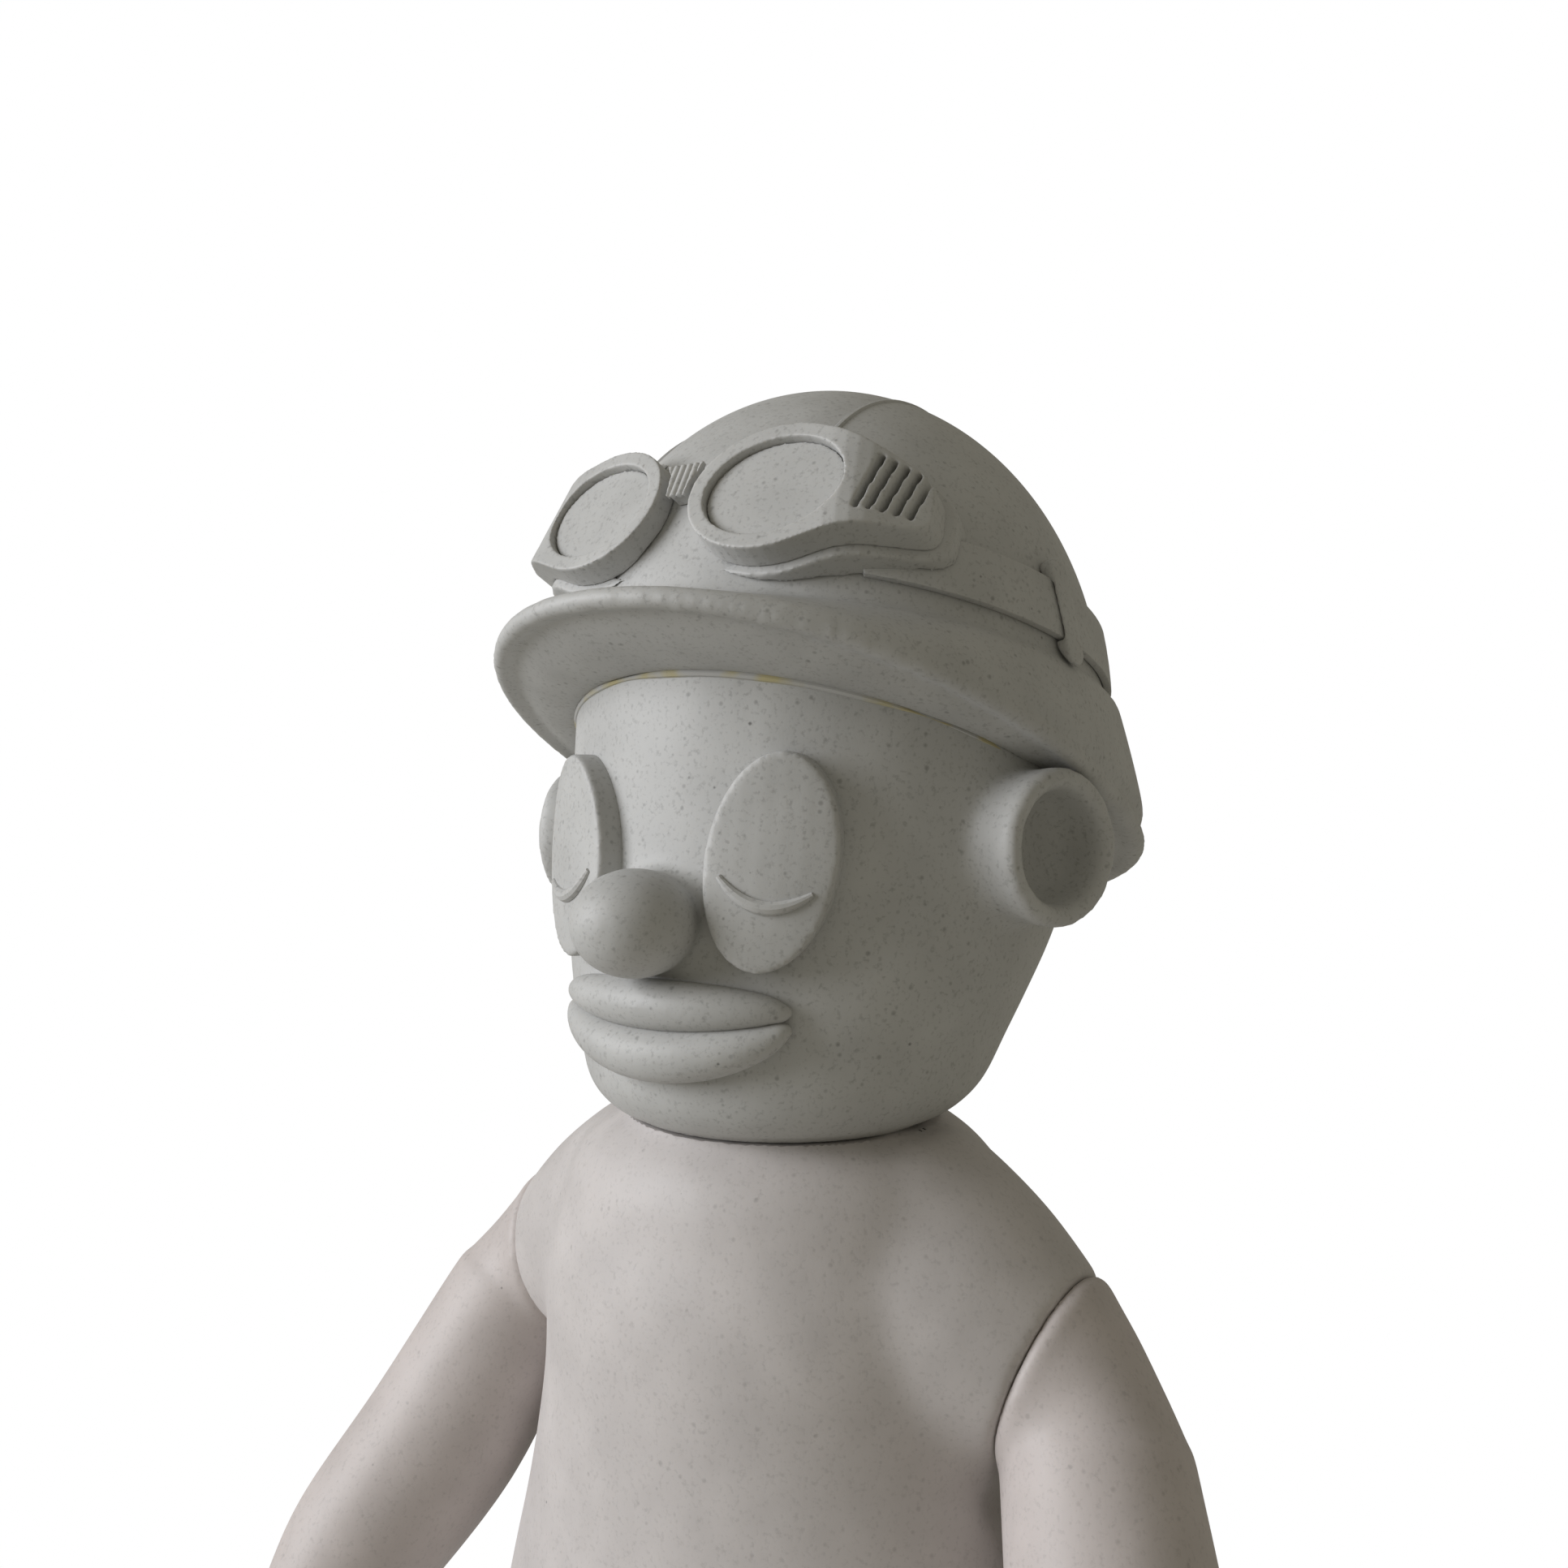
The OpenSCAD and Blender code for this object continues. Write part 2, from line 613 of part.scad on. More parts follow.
module arm_tube(inset) {
    inward = unit(upper_way - (upper_way * shoulder_axis) * shoulder_axis);
    bend = acos(upper_way * shoulder_axis);
    pivot = shoulder_radius + shoulder_bend;
    bends = 5;
    last = 8;
    function row(p, r) = [p[0], p[1], p[2], r];
    top = arm_radius - 1;
    // The bend is slimmer in its middle, and its inner side stays the same way from the pivot
    function bend_radius(share) = shoulder_radius + (top - shoulder_radius) * share - 1.1 * sin(180 * share);
    function bent(share) =
        let (t = bend * share, out = bend_radius(share) + shoulder_bend)
        shoulder + (pivot - out * cos(t)) * inward + (out * sin(t)) * shoulder_axis;
    below = bent(1);
    path = [row(below - 6 * upper_way, 0), row(below, top), row(shoulder + elbow, arm_radius),
            row(shoulder + forearm, arm_radius - 0.9), row(shoulder + wrist, wrist_radius)];
    spots = [for (k = [0:last]) row_at(path, 1 + 3 * k / last)];
    function spot(k) = [spots[k][0], spots[k][1], spots[k][2]];
    loft(concat(
        [for (k = [0:bends - 1])
            let (t = bend * k / bends, d = cos(t) * shoulder_axis + sin(t) * inward, r = bend_radius(k / bends) - inset)
            turned_ring(bent(k / bends) + (k == 0 ? turn_gap + inset : inset * (1 - k / bends)) * d, d, r, r,
                        limb_steps)],
        [for (k = [0:last])
            turned_ring(spot(k), k == 0 ? upper_way : unit(spot(min(k + 1, last)) - spot(k - 1)),
                        spots[k][3] - inset, spots[k][3] - inset, limb_steps)],
        [for (share = [0.4, 0.75, 1])
            let (r = (wrist_radius - inset) * cos(80 * share))
            turned_ring(spot(last) + (wrist_radius - inset) * 0.7 * sin(80 * share) * hand_way, hand_way,
                        r, r, limb_steps)]));
}

// Finger from the palm: across is its place over the knuckles, curl bends it towards the palm
module finger(across, length, radius, curl) {
    knuckle = palm + 5 * hand_way + across * thumb_way;
    middle = knuckle + length * 0.5 * unit(hand_way + 0.25 * curl * palm_way + 0.05 * across * thumb_way);
    tip = middle + length * 0.5 * unit(hand_way + curl * palm_way);
    finger_tube(knuckle, middle, tip, radius);
}
module finger_tube(knuckle, middle, tip, radius) {
    close = unit(tip - middle);
    function row(p, r) = [p[0], p[1], p[2], r];
    tube([row(knuckle, radius), row(middle, radius * 0.98), row(tip, radius * 0.92),
          row(tip + 0.6 * radius * close, radius * 0.72), row(tip + 0.9 * radius * close, radius * 0.25)],
         small_steps, 9);
}

module hand() {
    blob(palm, hand_way, thumb_way, 9.5, [9, 6.2]);
    finger(-6, 10.5, 3.3, 0.6);
    finger(0, 12, 3.5, 0.55);
    finger(6, 11, 3.3, 0.5);
    thumb_root = palm + 5 * thumb_way - 2 * hand_way;
    thumb_joint = thumb_root + 7 * unit(thumb_way + 0.5 * hand_way + 0.3 * palm_way);
    thumb_tip = thumb_joint + 6 * unit(thumb_way + 1.2 * hand_way + 0.5 * palm_way);
    finger_tube(thumb_root, thumb_joint, thumb_tip, 3.4);
}

module left_arm_shell() {
    color(vinyl) difference() {
        union() {
            arm_tube(0);
            hand();
        }
        arm_tube(wall);
        at_left_shoulder() cylinder(r = limb_plug_radius + glue_gap, h = wall + 4);
    }
}
module right_arm_shell() { other_side() left_arm_shell(); }

// ---------- legs ----------

ankle_radius = 13;
toe_out = 8;         // how far each foot turns outwards, in degrees

// Rows [share of the way from heel to toe, half width, middle height, half height]
foot_rows = [[0, 2, 9, 2], [0.035, 9, 9.6, 8], [0.13, 13.2, 10.5, 12], [0.3, 14.8, 10, 13.4],
             [0.48, 15.8, 8.6, 12.6], [0.66, 17.2, 7.6, 11.4], [0.83, 16, 7.2, 10.4], [0.945, 10.5, 7, 7.8],
             [1, 2.5, 7, 2.5]];

module foot() {
    last = len(foot_rows) - 1;
    steps = 18;
    rotate([0, 0, toe_out]) intersection() {
        loft([for (k = [0:steps])
            let (row = row_at(foot_rows, last * k / steps), y = heel_reach - (heel_reach + toe_reach) * row[0])
            [for (i = [0:limb_steps + 3]) let (a = 360 * i / (limb_steps + 4))
                [row[1] * cos(a), y, row[2] + row[3] * sin(a)]]]);
        translate([-40, -100, 0]) cube([80, 200, 60]);
    }
}

// Leg from the hip ring down into the foot, with the last rows inside it
module leg_tube(inset, bottom) {
    tube([[0, 0, leg_height - inset, leg_radius - inset],
          [0, 0, leg_height * 0.8, leg_radius - 0.4 - inset],
          [0.5, 0.6, leg_height * 0.55, leg_radius - 1.9 - inset],
          [1, 1, leg_height * 0.36, ankle_radius - inset],
          [1, 1, bottom, ankle_radius - 0.6 - inset]],
         limb_steps + 4, 12, [0, 0, -1]);
}

module left_leg_shell() {
    color(vinyl) translate([hip_x, 0, 0]) difference() {
        union() {
            leg_tube(0, 9);
            foot();
        }
        leg_tube(wall, 11);
        translate([0, 0, leg_height - wall - 3]) cylinder(r = limb_plug_radius + glue_gap, h = wall + 5);
    }
}
module right_leg_shell() { other_side() left_leg_shell(); }

torso_shell();
head_shell();
neck_plug();
left_eye_plate();
right_eye_plate();
left_eye_lid();
right_eye_lid();
upper_lip();
lower_lip();
hat_shell();
goggle_strap();
left_strap_keeper();
right_strap_keeper();
left_goggle_cushion();
right_goggle_cushion();
left_goggle_frame();
right_goggle_frame();
left_goggle_lens();
right_goggle_lens();
goggle_bridge();
left_arm_shell();
right_arm_shell();
left_shoulder_plug();
right_shoulder_plug();
left_leg_shell();
right_leg_shell();
left_hip_plug();
right_hip_plug();
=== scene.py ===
"""Vinyl art toy: soft cast shells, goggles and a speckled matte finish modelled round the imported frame.

Run in Blender, it registers as an add-on would and models each piece through its own operator.
Lengths are in metres, +Z is up and the figure faces -Y with its left side at +X.
"""

from math import acos, atan2, cos, pi, radians, sin, sqrt

import bpy
from mathutils import Matrix, Vector


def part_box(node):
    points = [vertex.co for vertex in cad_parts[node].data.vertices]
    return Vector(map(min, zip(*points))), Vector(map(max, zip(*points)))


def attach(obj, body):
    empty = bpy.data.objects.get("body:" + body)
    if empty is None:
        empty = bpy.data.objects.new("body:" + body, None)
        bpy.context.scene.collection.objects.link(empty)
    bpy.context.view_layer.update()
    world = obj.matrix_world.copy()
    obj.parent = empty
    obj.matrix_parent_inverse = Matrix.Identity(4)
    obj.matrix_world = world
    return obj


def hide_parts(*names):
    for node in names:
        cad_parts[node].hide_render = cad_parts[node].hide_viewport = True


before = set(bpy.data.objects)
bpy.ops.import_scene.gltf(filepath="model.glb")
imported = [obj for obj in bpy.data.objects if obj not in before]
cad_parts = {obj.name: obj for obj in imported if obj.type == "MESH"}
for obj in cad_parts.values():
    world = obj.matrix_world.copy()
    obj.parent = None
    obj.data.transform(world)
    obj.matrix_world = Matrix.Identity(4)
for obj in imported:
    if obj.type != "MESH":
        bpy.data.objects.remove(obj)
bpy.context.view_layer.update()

bl_info = {
    "name": "Vinyl Art Toy",
    "version": (1, 0, 0),
    "blender": (4, 5, 0),
    "location": "View3D > Sidebar > Art Toy",
    "description": "Models the cast shells, goggles and finish of a vinyl figure round its packed frame",
    "category": "Add Mesh",
}

MM = 0.001
TURN_GAP = 0.3 * MM      # between castings that turn on each other
SKIN_GAP = 0.15 * MM     # between glued trim and the surface under it

# Heights that the frame gives
NECK_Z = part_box("torso_shell")[1][2]
LEG_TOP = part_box("left_leg_shell")[1][2]


def linear(colour):
    """Linear colour of an sRGB hex value such as BABAB8."""
    parts = [int(colour[i:i + 2], 16) / 255 for i in (0, 2, 4)]
    return tuple(p / 12.92 if p <= 0.04045 else ((p + 0.055) / 1.055) ** 2.4 for p in parts)


# ---------------------------------------------------------------- sizes and colours

def size(label, description, millimetres):
    """Length property with its default in millimetres."""
    return bpy.props.FloatProperty(name=label, description=description, default=millimetres * MM, unit="LENGTH",
                                   precision=4)


def tint(label, description, colour):
    """Colour property with its default as an sRGB hex value."""
    return bpy.props.FloatVectorProperty(name=label, description=description, default=linear(colour),
                                         subtype="COLOR", size=3, min=0, max=1)


class ToySizes(bpy.types.PropertyGroup):
    """Sizes that shape the figure"""
    belly: size("Belly half width", "Half width of the torso at its widest", 41.5)
    belly_depth: size("Belly half depth", "Half depth of the torso at its deepest", 32.5)
    neck_radius: size("Neck radius", "Radius of the ring that the head turns on", 19)
    crown_height: size("Crown height", "Widest part of the skull above the neck", 51)
    skull: size("Skull radius", "Radius of the skull under the hat", 34)
    setback: size("Skull setback", "How far the skull sits behind the neck axis", 10.5)
    skull_rise: size("Skull rise", "Height of the skull above its widest part", 40.9)
    hat_wall: size("Hat wall", "Thickness of the hat's crown", 2.5)
    brim_reach: size("Brim reach", "How far the brim stands out from the crown", 6.8)
    peak_extra: size("Peak", "Extra reach of the brim in front and behind the ears", 1.8)
    ear: size("Ear radius", "Radius of the ear's rim", 9.4)
    nose: size("Nose radius", "Radius of the ball of the nose", 7.4)
    shoulder: size("Shoulder radius", "Radius of the arm where it meets the shoulder", 12)
    arm: size("Arm radius", "Radius of the forearm", 11.75)
    shoulder_x: size("Shoulder offset", "Distance of the shoulder joint from the middle", 37)
    shoulder_drop: size("Shoulder drop", "Depth of the shoulder joint below the neck ring", 25)
    leg: size("Leg radius", "Radius of the leg at the hip", 16.5)
    hip_x: size("Hip offset", "Distance of the hip joint from the middle", 19)
    strap: size("Strap width", "Width of the goggle strap", 6.8)
    shoulder_tilt: bpy.props.FloatProperty(name="Shoulder tilt",
                                           description="How far the shoulder axis points down",
                                           default=radians(20), subtype="ANGLE")


class ToyFinish(bpy.types.PropertyGroup):
    """Colours and grain of the castings"""
    head_vinyl: tint("Head vinyl", "Colour of the head, hat and goggle castings", "BABAB8")
    torso_vinyl: tint("Torso vinyl", "Colour of the torso casting", "C6C1BF")
    limb_vinyl: tint("Limb vinyl", "Colour of the arm and leg castings", "C5BDBA")
    fleck: tint("Fleck", "Colour of the darker flecks in the casting", "5C5A57")
    glue: tint("Glue", "Colour of the dried glue in the seams", "BDB48C")
    plug: tint("Plug", "Colour of the moulded joint plugs", "D6D3CC")
    floor: tint("Floor", "Colour of the studio floor", "F7F7F6")
    fleck_size: size("Fleck size", "Width of the larger flecks", 0.42)
    roughness: bpy.props.FloatProperty(name="Roughness", description="Roughness of the cast surface",
                                       default=0.52, min=0, max=1, subtype="FACTOR")


# ---------------------------------------------------------------- modelling by hand, in code

def deselect():
    """Leaves edit mode with nothing selected."""
    if bpy.context.object and bpy.context.object.mode != "OBJECT":
        bpy.ops.object.mode_set(mode="OBJECT")
    bpy.ops.object.select_all(action="DESELECT")


def pick(piece):
    """Makes a piece the only selected one."""
    deselect()
    piece.select_set(True)
    bpy.context.view_layer.objects.active = piece


def turn(angle, axis, centre):
    """Turns what is selected in edit mode by the right-hand rule."""
    bpy.ops.transform.rotate(value=-angle, orient_axis=axis, center_override=centre)


def drawn_up(name, rings, points=48):
    """A circle drawn up through rings of (height, x radius, y radius, y centre, tilt) and closed at both ends.

    A ring tilts about X, and its radii are measured from above.
    """
    deselect()
    bpy.ops.mesh.primitive_circle_add(vertices=points, radius=1, location=(0, 0, 0))
    piece = bpy.context.object
    piece.name = name
    bpy.ops.object.mode_set(mode="EDIT")
    bpy.ops.mesh.select_all(action="SELECT")
    at, wide, deep, leaning = Vector((0, 0, 0)), 1, 1, 0
    for k, (z, rx, ry, y, tilt) in enumerate(rings):
        if k:
            bpy.ops.mesh.extrude_edges_move()
        if leaning:
            turn(-leaning, "X", at)
        long = ry / cos(tilt)
        bpy.ops.transform.resize(value=(rx / wide, long / deep, 1), center_override=at)
        if tilt:
            turn(tilt, "X", at)
        there = Vector((0, y, z))
        bpy.ops.transform.translate(value=there - at)
        at, wide, deep, leaning = there, rx, long, tilt
    bpy.ops.mesh.select_all(action="SELECT")
    bpy.ops.mesh.fill_holes(sides=0)
    bpy.ops.mesh.normals_make_consistent(inside=False)
    bpy.ops.object.mode_set(mode="OBJECT")
    return piece


def modify(piece, kind, **settings):
    """Adds a modifier and applies it."""
    pick(piece)
    bpy.ops.object.modifier_add(type=kind)
    modifier = piece.modifiers[-1]
    for key, value in settings.items():
        setattr(modifier, key, value)
    bpy.ops.object.modifier_apply(modifier=modifier.name)


def curve_through(rows, s):
    """Point on a smooth curve through rows of numbers: s runs from 0 to len(rows) - 1."""
    last = len(rows) - 1
    i = min(int(s), last - 1)
    t = s - i
    a, b, c, d = rows[max(i - 1, 0)], rows[i], rows[i + 1], rows[min(i + 2, last)]
    return [0.5 * (2 * q + (r - p) * t + (2 * p - 5 * q + 4 * r - e) * t * t + (3 * q - p - 3 * r + e) * t ** 3)
            for p, q, r, e in zip(a, b, c, d)]


def rolled(name, rows, steps=32, sides=32):
    """Round roll of clay along rows of (x, y, z, radius), closed at both ends."""
    deselect()
    bpy.ops.curve.primitive_nurbs_path_add()
    piece = bpy.context.object
    piece.name = name
    shape = piece.data
    shape.splines.clear()
    spline = shape.splines.new("POLY")
    spline.points.add(steps)
    for k in range(steps + 1):
        x, y, z, radius = curve_through(rows, (len(rows) - 1) * k / steps)
        spline.points[k].co = (x, y, z, 1)
        spline.points[k].radius = max(radius, 0.01 * MM) / MM
    shape.bevel_depth = MM
    shape.bevel_resolution = sides // 4 - 1
    shape.resolution_u = 1
    shape.use_fill_caps = True
    pick(piece)
    piece.location = (0, 0, 0)
    bpy.ops.object.convert(target="MESH")
    piece = bpy.context.object
    bpy.ops.object.mode_set(mode="EDIT")
    bpy.ops.mesh.select_all(action="SELECT")
    bpy.ops.mesh.remove_doubles(threshold=0.001 * MM)
    bpy.ops.mesh.normals_make_consistent(inside=False)
    bpy.ops.object.mode_set(mode="OBJECT")
    return piece


def placed(piece, matrix):
    """Moves a piece to its place and leaves its object at the origin."""
    pick(piece)
    piece.matrix_world = matrix
    bpy.ops.object.transform_apply(location=True, rotation=True, scale=True)
    return piece


def facing(point, direction, up=(0, 0, 1)):
    """Place at a point with local Z along direction and local Y as near up as it goes."""
    z = Vector(direction).normalized()
    x = Vector(up).cross(z).normalized()
    y = z.cross(x)
    return Matrix.Translation(point) @ Matrix((x, y, z)).transposed().to_4x4()


def ball(name, centre, radii, along=(0, 0, 1), up=(0, 1, 0), segments=40):
    """Ball stretched to three radii, the last one along a direction."""
    deselect()
    bpy.ops.mesh.primitive_uv_sphere_add(segments=segments, ring_count=segments // 2, radius=1,
                                         location=(0, 0, 0))
    piece = bpy.context.object
    piece.name = name
    bpy.ops.object.mode_set(mode="EDIT")
    bpy.ops.mesh.select_all(action="SELECT")
    bpy.ops.transform.resize(value=radii, center_override=(0, 0, 0))
    bpy.ops.object.mode_set(mode="OBJECT")
    return placed(piece, facing(centre, along, up))


def joined(name, pieces):
    """Makes one piece of several."""
    deselect()
    for piece in pieces:
        piece.select_set(True)
    bpy.context.view_layer.objects.active = pieces[0]
    if len(pieces) > 1:
        bpy.ops.object.join()
    bpy.context.object.name = name
    return bpy.context.object


def softened(piece, voxel, rounds):
    """Fuses overlapping lumps into one skin and rounds the joins, as clay is before a mould is made."""
    modify(piece, "REMESH", mode="VOXEL", voxel_size=voxel, use_smooth_shade=True)
    modify(piece, "SMOOTH", factor=0.5, iterations=rounds)
    return piece


def cut_flat(piece, point, normal):
    """Cuts a piece flat, removes what lies beyond and closes the cut."""
    pick(piece)
    bpy.ops.object.mode_set(mode="EDIT")
    bpy.ops.mesh.select_all(action="SELECT")
    bpy.ops.mesh.bisect(plane_co=point, plane_no=Vector(normal).normalized(), use_fill=True, clear_outer=True)
    bpy.ops.object.mode_set(mode="OBJECT")
    return piece


def cut_with(piece, tool, operation="DIFFERENCE"):
    """Cuts a piece with another one, which is used up."""
    modify(piece, "BOOLEAN", operation=operation, object=tool, solver="EXACT")
    bpy.data.objects.remove(tool, do_unlink=True)
    return piece


def cast_copy(node, voxel, rounds):
    """Copy of a frame solid with the soft edges of a casting."""
    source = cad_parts[node]
    piece = bpy.data.objects.new("cast_" + node, source.data.copy())
    bpy.context.scene.collection.objects.link(piece)
    pick(piece)
    bpy.ops.object.mode_set(mode="EDIT")
    bpy.ops.mesh.select_all(action="SELECT")
    bpy.ops.mesh.remove_doubles(threshold=0.002 * MM)
    bpy.ops.object.mode_set(mode="OBJECT")
    return softened(piece, voxel, rounds)


def other_side(piece, name):
    """Mirror image of a piece on the figure's right side."""
    pick(piece)
    bpy.ops.object.duplicate()
    twin = bpy.context.object
    twin.name = name
    bpy.ops.object.mode_set(mode="EDIT")
    bpy.ops.mesh.select_all(action="SELECT")
    bpy.ops.transform.resize(value=(-1, 1, 1), center_override=(0, 0, 0))
    bpy.ops.mesh.flip_normals()
    bpy.ops.object.mode_set(mode="OBJECT")
    return twin


def finish(piece, name, body, material, *nodes):
    """Names a finished piece, gives it its material and ties it to the frame."""
    piece.name = name
    piece.data.name = name
    piece.data.materials.clear()
    piece.data.materials.append(material)
    pick(piece)
    bpy.ops.object.shade_smooth_by_angle(angle=radians(35))
    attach(piece, body)
    if nodes:
        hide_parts(*nodes)
    return piece


# ---------------------------------------------------------------- materials

def add(tree, kind, settings=None, **links):
    """Adds a node with its settings, and links sockets to its inputs by name, or by number as in0 or in1."""
    node = tree.nodes.new(kind)
    for key, value in (settings or {}).items():
        if hasattr(node, key):
            setattr(node, key, value)
        else:
            node.inputs[key].default_value = value
    for key, socket in links.items():
        numbered = key.startswith("in") and key[2:].isdigit()
        tree.links.new(socket, node.inputs[int(key[2:]) if numbered else key.replace("_", " ")])
    return node


def cast_vinyl(name, colour, fleck, fleck_size, roughness, bump=1.0, grain=1.0):
    """Rotocast vinyl, unpainted: a matt, slightly waxy skin with pigment flecks and faint mould texture.

    The flecks are drawn about 0.4 mm wide, with finer dust between them and soft clouding 10 mm across.
    A lower grain gives a cleaner batch of vinyl, with less dust and fainter flecks.
    """
    material = bpy.data.materials.new(name)
    material.use_nodes = True
    tree = material.node_tree
    tree.nodes.clear()
    place = add(tree, "ShaderNodeTexCoord").outputs["Object"]

    cloud = add(tree, "ShaderNodeTexNoise", {"Scale": 1 / (9 * MM), "Detail": 3.0}, Vector=place).outputs["Fac"]
    ramp = add(tree, "ShaderNodeValToRGB", Fac=cloud)
    ramp.color_ramp.elements[0].position, ramp.color_ramp.elements[1].position = 0.32, 0.7
    ramp.color_ramp.elements[0].color = (*[c * 0.93 for c in colour], 1)
    ramp.color_ramp.elements[1].color = (*[min(c * 1.05, 1) for c in colour], 1)
    base = ramp.outputs["Color"]

    # Fine dust, a third of a millimetre across
    dust = add(tree, "ShaderNodeTexNoise", {"Scale": 1 / (0.6 * MM), "Detail": 2.0, "Roughness": 0.65},
               Vector=place).outputs["Fac"]
    dusty = add(tree, "ShaderNodeMapRange", {"From Min": 0.46, "From Max": 0.28, "To Max": 0.3 * grain},
                Value=dust)
    base = mixed(tree, base, fleck, dusty.outputs["Result"])

    # Two sowings of ragged flecks: faint ones close together, then a few dark ones. Spread is in fleck widths
    wander = add(tree, "ShaderNodeTexNoise", {"Scale": 1 / (0.35 * MM), "Detail": 1.0},
                 Vector=place).outputs["Color"]
    bent = add(tree, "ShaderNodeMix", {"data_type": "VECTOR", "Factor": 0.00008},
               in4=place, in5=wander).outputs[1]
    for spread, rare, widest, dark in ((3.4, 0.4, 0.22, 0.42 * grain), (8.5, 0.55, 0.065, 0.8)):
        cell = add(tree, "ShaderNodeTexVoronoi", {"Scale": 1 / (spread * fleck_size)}, Vector=bent)
        chance = add(tree, "ShaderNodeSeparateColor", Color=cell.outputs["Color"])
        radius = add(tree, "ShaderNodeMapRange", {"From Min": rare, "From Max": 1.0, "To Max": widest},
                     Value=chance.outputs["Red"])
        inside = add(tree, "ShaderNodeMath", {"operation": "SUBTRACT"}, in0=radius.outputs["Result"],
                     in1=cell.outputs["Distance"])
        mask = add(tree, "ShaderNodeMapRange",
                   {"From Min": -0.25 * widest, "From Max": 0.5 * widest, "To Max": dark},
                   Value=inside.outputs["Value"])
        base = mixed(tree, base, fleck, mask.outputs["Result"])

    gloss = add(tree, "ShaderNodeMapRange", {"To Min": roughness - 0.06, "To Max": roughness + 0.08},
                Value=cloud)

    # Mould texture: orange peel half a millimetre across over a slow waviness of the cast wall
    peel = add(tree, "ShaderNodeTexNoise", {"Scale": 1 / (0.6 * MM), "Detail": 3.0, "Roughness": 0.6},
               Vector=place)
    wave = add(tree, "ShaderNodeTexNoise", {"Scale": 1 / (7 * MM), "Detail": 1.0}, Vector=place)
    wavy = add(tree, "ShaderNodeBump", {"Strength": 0.35 * bump, "Distance": 0.35 * MM},
               Height=wave.outputs["Fac"])
    skin = add(tree, "ShaderNodeBump", {"Strength": 0.28 * bump, "Distance": 0.06 * MM},
               Height=peel.outputs["Fac"], Normal=wavy.outputs["Normal"])

    shader = add(tree, "ShaderNodeBsdfPrincipled",
                 {"IOR": 1.48, "Subsurface Weight": 0.12, "Subsurface Scale": 1.5 * MM,
                  "Subsurface Radius": (1.0, 0.85, 0.7)},
                 Base_Color=base, Roughness=gloss.outputs["Result"], Normal=skin.outputs["Normal"])
    out = add(tree, "ShaderNodeOutputMaterial")
    tree.links.new(shader.outputs["BSDF"], out.inputs["Surface"])
    return material


def mixed(tree, base, colour, amount):
    """Base colour with another colour laid over it where amount is high."""
    mix = add(tree, "ShaderNodeMix", {"data_type": "RGBA"})
    mix.inputs[7].default_value = (*colour, 1)
    tree.links.new(amount, mix.inputs[0])
    tree.links.new(base, mix.inputs[6])
    return mix.outputs[2]


def moulded_plastic(name, colour):
    """Injection-moulded polyethylene, as joint plugs are: waxy and even, with a faint spark-eroded grain."""
    material = bpy.data.materials.new(name)
    material.use_nodes = True
    tree = material.node_tree
    shader = tree.nodes["Principled BSDF"]
    place = add(tree, "ShaderNodeTexCoord").outputs["Object"]
    grain = add(tree, "ShaderNodeTexNoise", {"Scale": 1 / (0.3 * MM), "Detail": 2.0},
                Vector=place).outputs["Fac"]
    ramp = add(tree, "ShaderNodeValToRGB", Fac=grain)
    ramp.color_ramp.elements[0].color = (*[c * 0.94 for c in colour], 1)
    ramp.color_ramp.elements[1].color = (*colour, 1)
    bump = add(tree, "ShaderNodeBump", {"Strength": 0.3, "Distance": 0.03 * MM}, Height=grain)
    tree.links.new(ramp.outputs["Color"], shader.inputs["Base Color"])
    tree.links.new(bump.outputs["Normal"], shader.inputs["Normal"])
    shader.inputs["Roughness"].default_value = 0.4
    shader.inputs["IOR"].default_value = 1.51
    return material


def dried_glue(name, colour):
    """Cyanoacrylate squeezed out of a seam and dried: thin, yellowed and a little glossy."""
    material = bpy.data.materials.new(name)
    material.use_nodes = True
    tree = material.node_tree
    shader = tree.nodes["Principled BSDF"]
    place = add(tree, "ShaderNodeTexCoord").outputs["Object"]
    patch = add(tree, "ShaderNodeTexNoise", {"Scale": 1 / (5 * MM), "Detail": 2.0}, Vector=place).outputs["Fac"]
    ramp = add(tree, "ShaderNodeValToRGB", Fac=patch)
    ramp.color_ramp.elements[0].position, ramp.color_ramp.elements[1].position = 0.45, 0.62
    ramp.color_ramp.elements[0].color = (*finish_of().head_vinyl, 1)
    ramp.color_ramp.elements[1].color = (*colour, 1)
    tree.links.new(ramp.outputs["Color"], shader.inputs["Base Color"])
    shader.inputs["Roughness"].default_value = 0.32
    shader.inputs["IOR"].default_value = 1.48
    return material


def sizes():
    """Sizes that the sidebar shows."""
    return bpy.context.scene.toy_sizes


def finish_of():
    """Colours and grain that the sidebar shows."""
    return bpy.context.scene.toy_finish


def vinyl(name, batch="head_vinyl", bump=1.0):
    """The named vinyl of this figure, made once. The head's batch shows the most dust."""
    if name not in bpy.data.materials:
        f = finish_of()
        grain = 1.0 if batch == "head_vinyl" else 0.55
        cast_vinyl(name, getattr(f, batch), f.fleck, f.fleck_size, f.roughness, bump, grain)
    return bpy.data.materials[name]


# ---------------------------------------------------------------- shapes shared by several pieces

